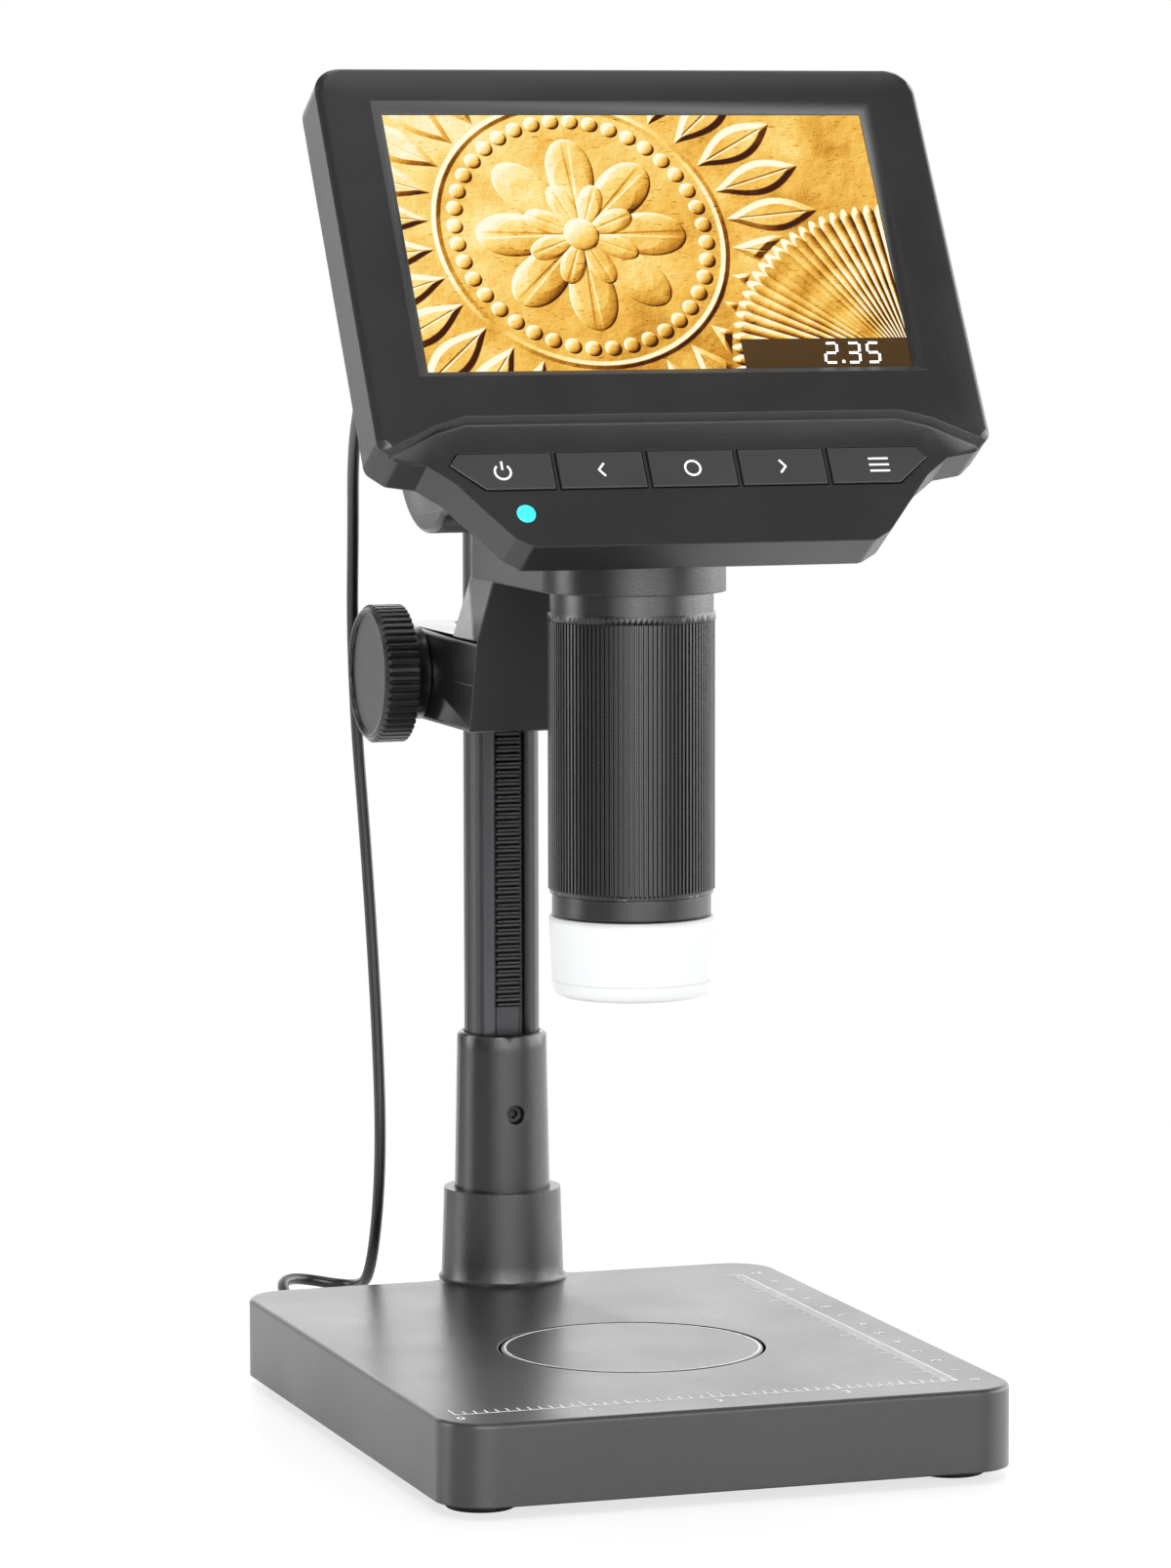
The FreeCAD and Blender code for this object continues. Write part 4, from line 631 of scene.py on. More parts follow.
class Palette:
    """Every finish of the object, by the name of its use."""

    def __init__(self) -> None:
        """Build each finish once."""
        # The wear values set how far edges are painted paler, as wear and as a painted highlight.
        finishes = {
            "shell": Plastic("shell_plastic", linear(25, 25, 26), 0.24),
            "panel": Plastic("panel_plastic", linear(21, 21, 22), 0.34, grain=0.00003, rounding=0.00025),
            "face": Plastic("web_plastic", linear(34, 34, 35), 0.5, rounding=0.0006),
            "key": Plastic("key_plastic", linear(32, 32, 34), 0.44, rounding=0.0002),
            "base": Plastic("base_plastic", linear(48, 48, 49), 0.3),
            "grip": Plastic("grip_plastic", linear(28, 28, 29), 0.22, rounding=0.00004),
            "barrel": Plastic("barrel_plastic", linear(24, 24, 25), 0.25),
            "dark": Plastic("inner_plastic", linear(26, 26, 28), 0.5),
            "rubber": Plastic("foot_rubber", linear(24, 24, 25), 0.7, grain=0.00006, wear_and_sheen=0.15),
            "cord": Plastic("cord_rubber", linear(22, 22, 23), 0.3, grain=0.000004, wear_and_sheen=0.1),
            "wrap": Plastic("battery_wrap", linear(44, 96, 150), 0.3, wear_and_sheen=0.1, coat=0.5),
            "column": Metal("column_anodised", linear(62, 62, 64), 0.34, 0.75),
            "rack": Metal("rack_steel", linear(58, 58, 60), 0.42, 0.8, (700.0, 100.0, 700.0)),
            "steel": Metal("machined_steel", linear(150, 152, 155), 0.28),
            "brass": Metal("turned_brass", linear(190, 158, 88), 0.3),
            "board": Lacquer(),
            "hood": Frost(),
            "lamp": Glow("status_lamp", linear(40, 214, 236), 1.0),
            "display": Glow("display_back", linear(60, 46, 24), 0.2),
            "readout": Plastic("readout_ground", linear(66, 46, 20), 0.2, wear_and_sheen=0.0),
            "digit": Glow("readout_digit", linear(244, 244, 240), 0.9),
            "ink": Ink(),
            "glass": Clear(),
            "picture": GoldPicture(),
        }
        self.made = {use: finish.build() for use, finish in finishes.items()}

    def __getitem__(self, use: str) -> bpy.types.Material:
        """The material for a use."""
        return self.made[use]


def add_mesh(name: str, mesh: bpy.types.Mesh, material: bpy.types.Material, body: Body) -> bpy.types.Object:
    """Put a finished mesh on its body.

    Args:
        name: The piece's name.
        mesh: A mesh whose vertices are in place.
        material: Its finish.
        body: The body that it rides on.

    Returns:
        The new object.
    """
    piece = bpy.data.objects.new(name, mesh)
    bpy.context.scene.collection.objects.link(piece)
    mesh.materials.clear()
    mesh.materials.append(material)
    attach(piece, body.value)
    LOG.info("piece %s rides on %s", name, body.value)
    return piece


@dataclass(frozen=True)
class Skin:
    """A smooth-shaded stand-in for a solid with curved walls.

    Attributes:
        node: The solid's node.
        use: The finish's use.
        body: The body that it rides on.
        slot: The record's slot; not used.
        sharp: Edges that turn by more than this many degrees stay sharp.
        shaping: A further change to the mesh.
        ribbed: Whether fine ribs keep their own plain normals.
    """

    node: str
    use: str
    body: Body
    slot: Slot
    sharp: float = 32.0
    shaping: Callable[[bmesh.types.BMesh], None] | None = None
    ribbed: bool = False

    def dress(self, palette: Palette) -> bpy.types.Object:
        """Copy the solid, join its triangles, shape it further and shade it smooth.

        Args:
            palette: The finishes.

        Returns:
            The piece that replaces the solid.
        """
        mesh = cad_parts[self.node].data.copy()
        work = bmesh.new()
        work.from_mesh(mesh)
        bmesh.ops.remove_doubles(work, verts=work.verts, dist=1e-6)
        if self.shaping:
            self.shaping(work)
            bmesh.ops.remove_doubles(work, verts=work.verts, dist=1e-6)
        work.to_mesh(mesh)
        work.free()
        mesh.shade_smooth()
        mesh.set_sharp_from_angle(angle=math.radians(self.sharp))
        piece = add_mesh(self.node + "_skin", mesh, palette[self.use], self.body)
        if not self.ribbed:
            weigh = piece.modifiers.new("weigh", "WEIGHTED_NORMAL")
            weigh.keep_sharp = True
        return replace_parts(piece, self.node)


class Marks:
    """Flat raised marks drawn in a plane: bars, rings and polygons."""

    def __init__(self, origin: Vector, across: Vector, up: Vector, depth: float) -> None:
        """Start an empty group in a plane, with depth in millimetres."""
        self.origin, self.across, self.up = origin, across, up
        self.normal = across.cross(up)
        self.depth = depth
        self.verts: list[Vector] = []
        self.faces: list[list[int]] = []

    def polygon(self, points: Iterable[Point]) -> None:
        """Add a thin prism.

        Args:
            points: Its convex outline in millimetres, anticlockwise.
        """
        outline = [self.origin + (self.across * a + self.up * b) * MM for a, b in points]
        rise = self.normal * self.depth * MM
        start, count = len(self.verts), len(outline)
        self.verts += outline + [p + rise for p in outline]
        self.faces.append([start + i for i in reversed(range(count))])
        self.faces.append([start + count + i for i in range(count)])
        for i in range(count):
            j = (i + 1) % count
            self.faces.append([start + i, start + j, start + count + j, start + count + i])

    def bar(self, a: Point, b: Point, width: float) -> None:
        """Add a straight bar.

        Args:
            a: The middle of one end.
            b: The middle of the other.
            width: Its width in millimetres.
        """
        run = Vector(b) - Vector(a)
        side = Vector((-run.y, run.x)).normalized() * width / 2
        self.polygon([Vector(a) - side, Vector(b) - side, Vector(b) + side, Vector(a) + side])

    def ring(self, centre: Point, radius: float, width: float, start: float = 0.0,
             stop: float = 360.0) -> None:
        """Add a ring, or part of one, from short bars.

        Args:
            centre: Its centre.
            radius: The middle radius of the line.
            width: The line's width in millimetres.
            start: The first angle in degrees.
            stop: The last angle in degrees.
        """
        steps = max(6, round((stop - start) / 12))
        spots = []
        for i in range(steps + 1):
            angle = math.radians(start + (stop - start) * i / steps)
            spots.append((math.cos(angle), math.sin(angle)))
        low, high = radius - width / 2, radius + width / 2
        for (c0, s0), (c1, s1) in zip(spots, spots[1:]):
            quad = [(low * c0, low * s0), (high * c0, high * s0), (high * c1, high * s1),
                    (low * c1, low * s1)]
            self.polygon([(centre[0] + x, centre[1] + y) for x, y in quad])

    def mesh(self, name: str) -> bpy.types.Mesh:
        """The marks as one mesh."""
        mesh = bpy.data.meshes.new(name)
        mesh.from_pydata(self.verts, [], self.faces)
        mesh.update()
        return mesh


class GeometryTree(Tree):
    """A geometry node tree with named inputs, turned into a plain mesh."""

    def __init__(self, name: str, inputs: dict[str, tuple[str, Any]]) -> None:
        """Make the group and its inputs, each a socket type and a value."""
        self.group = bpy.data.node_groups.new(name, "GeometryNodeTree")
        super().__init__(self.group)
        self.keys: dict[str, str] = {}
        self.values: dict[str, Any] = {}
        self.group.interface.new_socket(name="Geometry", in_out="OUTPUT", socket_type="NodeSocketGeometry")
        for label, (kind, value) in inputs.items():
            made = self.group.interface.new_socket(name=label, in_out="INPUT", socket_type=kind)
            self.keys[label] = made.identifier
            self.values[label] = value
        self.entry = self.group.nodes.new("NodeGroupInput")

    def given(self, label: str) -> Sock:
        """A named input."""
        return Sock(self, self.entry.outputs[label])

    def vector(self, x: Any = 0.0, y: Any = 0.0, z: Any = 0.0) -> Sock:
        """A vector from three values."""
        return self.node("ShaderNodeCombineXYZ", {}, {0: x, 1: y, 2: z})

    def bake(self, shape: Sock, place: Matrix) -> bpy.types.Mesh:
        """Close the tree, run it and keep the result.

        Args:
            shape: The geometry to keep.
            place: Where its own frame lies on the object.

        Returns:
            A plain mesh in place.
        """
        real = self.node("GeometryNodeRealizeInstances", {}, {0: shape})
        painted = self.node("GeometryNodeSetMaterial", {}, {0: real, "Material": self.given("Material")})
        self.node_output(painted)
        holder = bpy.data.objects.new(self.group.name, bpy.data.meshes.new(self.group.name))
        bpy.context.scene.collection.objects.link(holder)
        modifier = holder.modifiers.new("build", "NODES")
        modifier.node_group = self.group
        for label, key in self.keys.items():
            modifier[key] = self.values[label]
        graph = bpy.context.evaluated_depsgraph_get()
        mesh = bpy.data.meshes.new_from_object(holder.evaluated_get(graph), depsgraph=graph)
        holder.modifiers.remove(modifier)
        bpy.data.objects.remove(holder)
        mesh.transform(place)
        return mesh

    def node_output(self, shape: Sock) -> None:
        """Link the group's output."""
        end = self.group.nodes.new("NodeGroupOutput")
        self.group.links.new(shape.socket, end.inputs[0])


@dataclass
class TickRow:
    """A printed scale: a line with short, middle and long ticks."""

    name: str
    count: int
    step: float
    short: float
    middle: float
    long: float
    every: int
    width: float
    place: Matrix
    depth: float = 0.04

    def tick_length(self, t: GeometryTree) -> Sock:
        """Work out each tick's length by its number.

        Args:
            t: The scale's tree.

        Returns:
            The length as a field.
        """
        index = t.node("GeometryNodeInputIndex")
        every = t.given("Every")
        whole = 1.0 - (index.maths("MODULO", every)).maths("MINIMUM", 1.0)
        half = 1.0 - (index.maths("MODULO", (every / 2.0).maths("CEIL"))).maths("MINIMUM", 1.0)
        short, middle, long = (t.given(label) for label in ("Short", "Middle", "Long"))
        return short + (middle - short) * half * (1.0 - whole) + (long - short) * whole

    def build(self, palette: Palette) -> bpy.types.Object:
        """Make the scale on the base's top.

        Args:
            palette: The finishes.

        Returns:
            The new object.
        """
        real = "NodeSocketFloat"
        t = GeometryTree(self.name, {
            "Count": ("NodeSocketInt", self.count), "Every": ("NodeSocketInt", self.every),
            "Step": (real, self.step * MM), "Short": (real, self.short * MM),
            "Middle": (real, self.middle * MM), "Long": (real, self.long * MM),
            "Width": (real, self.width * MM), "Depth": (real, self.depth * MM),
            "Material": ("NodeSocketMaterial", palette["ink"]),
        })
        step, width, depth = t.given("Step"), t.given("Width"), t.given("Depth")
        spots = t.node("GeometryNodeMeshLine", {}, {"Count": t.given("Count"), "Offset": t.vector(step)})
        box = t.node("GeometryNodeMeshCube", {}, {"Size": t.vector(width, 1.0, depth)})
        tick = t.node("GeometryNodeTransform", {},
                      {0: box, "Translation": t.vector(0.0, 0.5, depth * 0.5)})
        ticks = t.node("GeometryNodeInstanceOnPoints", {}, {
            "Points": spots, "Instance": tick, "Scale": t.vector(1.0, self.tick_length(t), 1.0)})
        run = (t.given("Count") - 1.0) * step
        line = t.node("GeometryNodeMeshCube", {}, {"Size": t.vector(run + width, width, depth * 0.96)})
        middle = t.vector(run * 0.5, 0.0, depth * 0.5)
        line = t.node("GeometryNodeTransform", {}, {0: line, "Translation": middle})
        joined = t.group.nodes.new("GeometryNodeJoinGeometry")
        for part in (line, ticks):
            t.group.links.new(part.socket, joined.inputs[0])
        mesh = t.bake(Sock(t, joined.outputs[0]), self.place)
        return add_mesh(self.name, mesh, palette["ink"], Body.STAND)


@dataclass
class RingLine:
    """A thin printed ring, swept round a circle."""

    name: str
    radius: float
    width: float
    centre: Vector
    depth: float = 0.05

    def build(self, palette: Palette) -> bpy.types.Object:
        """Make the ring on the pan.

        Args:
            palette: The finishes.

        Returns:
            The new object.
        """
        real = "NodeSocketFloat"
        t = GeometryTree(self.name, {
            "Radius": (real, self.radius * MM), "Width": (real, self.width * MM),
            "Depth": (real, self.depth * MM), "Material": ("NodeSocketMaterial", palette["ink"]),
        })
        path = t.node("GeometryNodeCurvePrimitiveCircle", {"mode": "RADIUS"},
                      {"Resolution": 160, "Radius": t.given("Radius")})
        section = t.node("GeometryNodeCurvePrimitiveQuadrilateral", {"mode": "RECTANGLE"},
                         {"Width": t.given("Width"), "Height": t.given("Depth")})
        swept = t.node("GeometryNodeCurveToMesh", {}, {"Curve": path, "Profile Curve": section})
        mesh = t.bake(swept, Matrix.Translation(self.centre))
        return add_mesh(self.name, mesh, palette["ink"], Body.PAN)


@dataclass
class Numerals:
    """Printed plain numbers along a scale."""

    name: str
    texts: Sequence[str]
    start: Vector
    step: Vector
    across: Vector
    up: Vector
    size: float = 3.3
    depth: float = 0.04

    def build(self, palette: Palette) -> bpy.types.Object:
        """Make the numbers as one mesh.

        Args:
            palette: The finishes.

        Returns:
            The new object.
        """
        whole = bmesh.new()
        for number, text in enumerate(self.texts):
            curve = bpy.data.curves.new(self.name, "FONT")
            curve.body = text
            curve.align_x = curve.align_y = "CENTER"
            curve.size = self.size * MM
            curve.extrude = self.depth * MM / 2
            holder = bpy.data.objects.new(self.name, curve)
            mesh = bpy.data.meshes.new_from_object(holder)
            spot = self.start + self.step * number
            turn = Matrix((self.across, self.up, self.across.cross(self.up))).transposed().to_4x4()
            mesh.transform(Matrix.Translation(spot) @ turn)
            whole.from_mesh(mesh)
            bpy.data.objects.remove(holder)
            bpy.data.meshes.remove(mesh)
        mesh = bpy.data.meshes.new(self.name)
        whole.to_mesh(mesh)
        whole.free()
        return add_mesh(self.name, mesh, palette["ink"], Body.STAND)


@dataclass
class Stand:
    """The base, the column and what is printed on the base."""

    top: float = 18.0
    front: float = -68.7
    left: float = -52.54
    right: float = 47.46
    inch: float = 25.4
    pan_y: float = -16.5
    ring: float = 24.9
    number_gap: float = 3.4
    side_gap: float = 3.6
    proud: float = 0.02

    def solids(self, palette: Palette) -> None:
        """Dress the stand's solids."""
        curved = (("base_shell", "base", Slot.GREY), ("column_sleeve", "shell", Slot.GREY),
                  ("column", "column", Slot.COLUMN), ("column_cap", "dark", Slot.DARK),
                  ("feet", "rubber", Slot.RUBBER), ("base_plug", "cord", Slot.CORD))
        for node, use, slot in curved:
            Skin(node, use, Body.STAND, slot).dress(palette)
        Skin("pan", "base", Body.PAN, Slot.GREY).dress(palette)
        paint({"base_cover": "dark", "base_screws": "steel", "load_cell": "steel",
               "weighing_board": "board", "base_socket": "steel", "clamp_screw": "dark",
               "column_bolt": "steel", "rack": "rack"}, palette)

    def rulers(self, palette: Palette) -> None:
        """Print the inch scale in front, the centimetre scale at the side, and the pan's ring."""
        corner = Matrix.Translation(Vector((self.left, self.front, self.top)) * MM)
        TickRow(name="inch_scale", count=48, step=self.inch / 12, short=2.6, middle=2.6, long=4.6,
                every=12, width=0.28, place=corner).build(palette)
        turn = Matrix.Rotation(math.radians(90), 4, "Z")
        start = Matrix.Translation(Vector((self.right, self.front, self.top)) * MM)
        TickRow(name="centimetre_scale", count=121, step=1.0, short=2.6, middle=3.4, long=4.8,
                every=10, width=0.26, place=start @ turn).build(palette)
        rise = self.top + self.proud
        low = Vector((self.left, self.front - self.number_gap, rise)) * MM
        Numerals("inch_numbers", "0123", low, Vector((self.inch * MM, 0, 0)), Vector((1, 0, 0)),
                 Vector((0, 1, 0))).build(palette)
        side = Vector((self.right + self.side_gap, self.front, rise)) * MM
        Numerals("centimetre_numbers", [str(n) for n in range(13)], side, Vector((0, 0.01, 0)),
                 Vector((0, 1, 0)), Vector((-1, 0, 0)), 3.0).build(palette)
        RingLine("pan_ring", self.ring, 0.5, Vector((0, self.pan_y, self.top)) * MM).build(palette)

    def build(self, palette: Palette) -> None:
        """Dress and print the stand."""
        self.solids(palette)
        self.rulers(palette)


def paint(uses: dict[str, str], palette: Palette) -> None:
    """Give solids that stay a better finish.

    Args:
        uses: The finish's use by node.
        palette: The finishes.
    """
    for node, use in uses.items():
        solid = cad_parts[node]
        solid.data.materials.clear()
        solid.data.materials.append(palette[use])
        LOG.info("node %s finished as %s", node, use)


@dataclass
class Carriage:
    """The arm, the focus housing, the knobs and the optical tube."""

    arm_floor: float = 166.2
    arm_half: float = 18.36
    web_half: float = 18.06
    web_front: float = 13.7
    housing_half: float = 20.6
    housing_top: float = 154.3
    housing_foot: float = 135.7
    lean: float = 8.8
    plate: float = 0.3
    plate_foot: float = 0.5

    def flare_web(self, work: bmesh.types.BMesh) -> None:
        """Let the web's sides run from the arm's sides out to the housing's.

        Args:
            work: The bracket's mesh, whose points are moved.
        """
        ends = ((self.housing_top, self.housing_half), (self.arm_floor, self.arm_half))
        for vert in work.verts:
            if abs(abs(vert.co.x) / MM - self.web_half) > 0.02:
                continue
            for level, half in ends:
                if abs(vert.co.z / MM - level) < 0.05:
                    vert.co.x = math.copysign(half * MM, vert.co.x)

    def web_face(self, palette: Palette) -> bpy.types.Object:
        """The smooth plate of the web's leaning front, from the arm down to the housing's foot.

        Args:
            palette: The finishes.

        Returns:
            The new object.
        """
        rise = self.arm_floor - self.housing_foot
        up = Vector((0, -self.lean, rise))
        foot = Vector((0, self.web_front + self.lean, self.housing_foot)) * MM
        tall = up.length
        knee = tall * (self.housing_top - self.housing_foot) / rise
        face = Marks(foot, Vector((1, 0, 0)), up.normalized(), self.plate)
        wide, low = self.housing_half, self.plate_foot
        face.polygon([(-wide, low), (wide, low), (wide, knee), (self.arm_half, tall),
                      (-self.arm_half, tall), (-wide, knee)])
        return add_mesh("web_face", face.mesh("web_face"), palette["face"], Body.CARRIAGE)

    def build(self, palette: Palette) -> None:
        """Dress the carriage's solids."""
        grey = Slot.GREY
        Skin("arm_bracket", "shell", Body.CARRIAGE, grey, shaping=self.flare_web).dress(palette)
        self.web_face(palette)
        for node, use in (("housing_cover", "shell"), ("tube_body", "barrel"), ("nose_ring", "barrel")):
            Skin(node, use, Body.CARRIAGE, grey).dress(palette)
        Skin("light_hood", "hood", Body.CARRIAGE, Slot.FROSTED).dress(palette)
        Skin("focus_grip", "grip", Body.RING, grey, 18.0, ribbed=True).dress(palette)
        for node in ("focus_knob_left", "focus_knob_right"):
            Skin(node, "shell", Body.SHAFT, grey, 18.0).dress(palette)
        Skin("objective_lens", "glass", Body.LENS, Slot.GLASS).dress(palette)
        paint({"pinion_shaft": "steel", "guide_rings": "dark", "shaft_bushes": "brass",
               "housing_screws": "steel", "light_ring": "board", "image_sensor": "board",
               "lens_cell": "dark"}, palette)


@dataclass
class Head:
    """The screen head: shells, keys, their symbols, the picture and the readout.

    Sizes are millimetres, across from the middle and up from the screen's lower edge.
    """

    tilt: float = 58.7
    lead: float = 41.4
    level: float = 209.6
    half: float = 48.5
    tall: float = 56.1
    glass: float = -0.2
    panel: float = -0.7
    key_rise: float = 0.3
    key_middle: float = -21.0
    key_places: tuple = ((Body.POWER, -37.4), (Body.BACK, -18.0), (Body.SELECT, 0.0),
                         (Body.FORWARD, 18.0), (Body.MENU, 37.4))
    symbol: float = 0.42
    layer: float = 0.02
    readout_left: float = 14.6
    readout_tall: float = 6.4
    digit_places: tuple = (("2", 31.0), ("3", 35.6), ("5", 39.6))
    digit_foot: float = 1.1
    digit_wide: float = 2.4
    digit_tall: float = 4.2
    digit_lean: float = 0.22
    stroke: float = 0.5
    stroke_gap: float = 0.25
    point_left: float = 34.3
    point_foot: float = 1.0
    point_size: float = 0.6

    def __post_init__(self) -> None:
        """Work out the head's directions."""
        turn = math.radians(self.tilt)
        self.across = Vector((1, 0, 0))
        self.up = Vector((0, math.cos(turn), math.sin(turn)))
        self.out = Vector((0, -math.sin(turn), math.cos(turn)))
        self.foot = Vector((0, -self.lead, self.level)) * MM

    def at(self, across: float, up: float, out: float) -> Vector:
        """A point of the head's frame, in millimetres, as a place in metres."""
        return self.foot + (self.across * across + self.up * up + self.out * out) * MM

    def marks(self, across: float, up: float, out: float, depth: float = 0.05) -> Marks:
        """A group of flat marks whose own origin is a point of the head."""
        return Marks(self.at(across, up, out), self.across, self.up, depth)

    def solids(self, palette: Palette) -> None:
        """Dress the head's solids."""
        carriage = Body.CARRIAGE
        Skin("head_front_shell", "panel", carriage, Slot.GREY, 18.0).dress(palette)
        Skin("head_rear_shell", "shell", carriage, Slot.GREY).dress(palette)
        Skin("status_light", "lamp", carriage, Slot.LIGHT).dress(palette)
        Skin("head_plug", "cord", carriage, Slot.CORD).dress(palette)
        Skin("battery", "wrap", carriage, Slot.BATTERY).dress(palette)
        paint({"screen_glass": "glass", "display_module": "display", "main_board": "board",
               "key_board": "board", "head_socket": "steel", "head_screws": "steel",
               "power_button": "key", "back_button": "key", "select_button": "key",
               "forward_button": "key", "menu_button": "key"}, palette)

    def picture(self, palette: Palette) -> None:
        """Lay the lit picture on the glass, with a dark readout and its digits."""
        half, tall, thin = self.half, self.tall, self.layer
        corners = [(-half, 0), (half, 0), (half, tall), (-half, tall)]
        sheet = self.marks(0, 0, self.glass, thin)
        sheet.polygon(corners)
        mesh = sheet.mesh("screen_picture")
        layer = mesh.uv_layers.new(name="UVMap")
        for loop in mesh.loops:
            a, b = corners[loop.vertex_index % 4]
            layer.data[loop.index].uv = (a / (2 * half) + 0.5, b / tall)
        add_mesh("screen_picture", mesh, palette["picture"], Body.CARRIAGE)
        box = self.marks(0, 0, self.glass + thin, thin)
        left, high = self.readout_left, self.readout_tall
        box.polygon([(left, 0), (half, 0), (half, high), (left, high)])
        mesh = box.mesh("readout_box")
        add_mesh("readout_box", mesh, palette["readout"], Body.CARRIAGE)
        digits = self.marks(0, 0, self.glass + 2 * thin, thin)
        for text, left in self.digit_places:
            self.digit(digits, text, left)
        left, foot = self.point_left, self.point_foot
        right, head = left + self.point_size, foot + self.point_size
        digits.polygon([(left, foot), (right, foot), (right, head), (left, head)])
        mesh = digits.mesh("readout_digits")
        add_mesh("readout_digits", mesh, palette["digit"], Body.CARRIAGE)

    def digit(self, marks: Marks, text: str, left: float) -> None:
        """Draw one seven-segment digit, leaning a little.

        Args:
            marks: The group that it joins.
            text: The digit.
            left: Its left side.
        """
        segments = {"top": ((0, 2), (1, 2)), "upper_left": ((0, 1), (0, 2)),
                    "upper_right": ((1, 1), (1, 2)), "middle": ((0, 1), (1, 1)),
                    "lower_left": ((0, 0), (0, 1)), "lower_right": ((1, 0), (1, 1)),
                    "foot": ((0, 0), (1, 0))}
        lit = {"2": ("top", "upper_right", "middle", "lower_left", "foot"),
               "3": ("top", "upper_right", "middle", "lower_right", "foot"),
               "5": ("top", "upper_left", "middle", "lower_right", "foot")}
        for name in lit[text]:
            ends = [(left + x * self.digit_wide + y * self.digit_lean,
                     self.digit_foot + y * self.digit_tall / 2) for x, y in segments[name]]
            gap = (Vector(ends[1]) - Vector(ends[0])).normalized() * self.stroke_gap
            marks.bar(Vector(ends[0]) + gap, Vector(ends[1]) - gap, self.stroke)

    def symbols(self, palette: Palette) -> None:
        """Print a plain symbol on each key."""
        rise = self.panel + self.key_rise
        for body, across in self.key_places:
            marks = self.marks(across, self.key_middle, rise, 0.04)
            self.draw_symbol(marks, body)
            name = body.value.replace("key", "symbol")
            add_mesh(name, marks.mesh(name), palette["ink"], body)

    def draw_symbol(self, marks: Marks, body: Body) -> None:
        """Draw the symbol that belongs to a key.

        Args:
            marks: The group that it joins.
            body: The key.
        """
        width = self.symbol
        if body is Body.POWER:
            marks.ring((0, -0.1), 1.55, width, -230, 50)
            marks.bar((0, 0.3), (0, 2.1), width)
        elif body is Body.SELECT:
            marks.ring((0, 0), 1.5, width)
        elif body is Body.MENU:
            for rise in (-1.3, 0.0, 1.3):
                marks.bar((-2.0, rise), (2.0, rise), width)
        else:
            side = -1 if body is Body.BACK else 1
            marks.bar((-0.6 * side, 1.35), (0.65 * side, -0.1), width)
            marks.bar((-0.6 * side, -1.35), (0.65 * side, 0.1), width)

    def build(self, palette: Palette) -> None:
        """Dress the head and add what it shows."""
        self.solids(palette)
        self.picture(palette)
        self.symbols(palette)


@dataclass
class SignalCord:
    """The thin cord between the head and the base, on one smooth curve.

    Its length, diameter, still point and moving point are in metres, and its route is in millimetres.
    """

    length: float = 0.2952
    diameter: float = 0.0024
    still: tuple[float, float, float] = (-0.022, 0.082, 0.05)
    moving: tuple[float, float, float] = (-0.044, 0.012, 0.205)
    route: tuple = (
        (-44.0, -2.929, 218.979), (-44.0, 9.033, 211.705), (-41.2, 27.5, 203.0), (-36.8, 48.0, 191.0),
        (-31.8, 65.0, 174.0), (-29.2, 75.0, 155.0), (-27.2, 79.5, 134.0), (-25.2, 80.5, 112.0),
        (-23.4, 81.5, 89.0), (-22.0, 82.2, 66.0), (-21.5, 82.0, 46.0), (-21.6, 84.2, 29.0),
        (-21.8, 90.0, 15.0), (-22.0, 97.5, 12.0), (-25.3, 102.0, 11.6), (-30.6, 103.7, 12.6),
        (-35.7, 101.8, 13.6), (-39.1, 97.5, 13.2), (-39.5, 88.2, 10.35), (-39.5, 78.2, 10.35),
    )

    def build(self, palette: Palette) -> bpy.types.Object:
        """Make the cord as a curve and turn it into a smooth tube that stands in for its solid.

        Args:
            palette: The finishes.

        Returns:
            The new object.
        """
        curve = bpy.data.curves.new("signal_cord_line", "CURVE")
        curve.dimensions = "3D"
        curve.resolution_u = 14
        curve.bevel_depth = self.diameter / 2
        curve.bevel_resolution = 5
        curve.use_fill_caps = True
        spline = curve.splines.new("NURBS")
        spline.points.add(len(self.route) - 1)
        for point, spot in zip(spline.points, self.route):
            point.co = (*(v * MM for v in spot), 1.0)
        spline.order_u = 3
        spline.use_endpoint_u = True
        holder = bpy.data.objects.new("signal_cord_line", curve)
        tube = bpy.data.meshes.new_from_object(holder)
        curve.bevel_depth = 0.0
        line = bpy.data.meshes.new_from_object(holder)
        bpy.data.objects.remove(holder)
        bpy.data.meshes.remove(line)
        work = bmesh.new()
        work.from_mesh(tube)
        bmesh.ops.remove_doubles(work, verts=work.verts, dist=1e-6)
        bmesh.ops.recalc_face_normals(work, faces=work.faces)
        work.to_mesh(tube)
        work.free()
        tube.shade_smooth()
        tube.materials.clear()
        tube.materials.append(palette["cord"])
        piece = bpy.data.objects.new("signal_cord_tube", tube)
        bpy.context.scene.collection.objects.link(piece)
        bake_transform(piece)
        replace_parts(piece, "signal_cord")
        LOG.info("cord laid over %d points", len(self.route))
        return piece


@dataclass(frozen=True)
class Softbox:
    """An area lamp that looks at the object, in metres and watts, seen in gloss or not."""

    name: str
    at: tuple[float, float, float]
    aim: tuple[float, float, float]
    size: tuple[float, float]
    power: float
    seen: bool = True

    def build(self) -> None:
        """Hang the lamp."""
        lamp = bpy.data.lights.new(self.name, "AREA")
        lamp.shape = "RECTANGLE"
        lamp.size, lamp.size_y = self.size
        lamp.energy = self.power
        holder = bpy.data.objects.new(self.name, lamp)
        bpy.context.scene.collection.objects.link(holder)
        holder.location = self.at
        way = Vector(self.aim) - Vector(self.at)
        holder.rotation_euler = way.to_track_quat("-Z", "Y").to_euler()
        holder.visible_glossy = self.seen


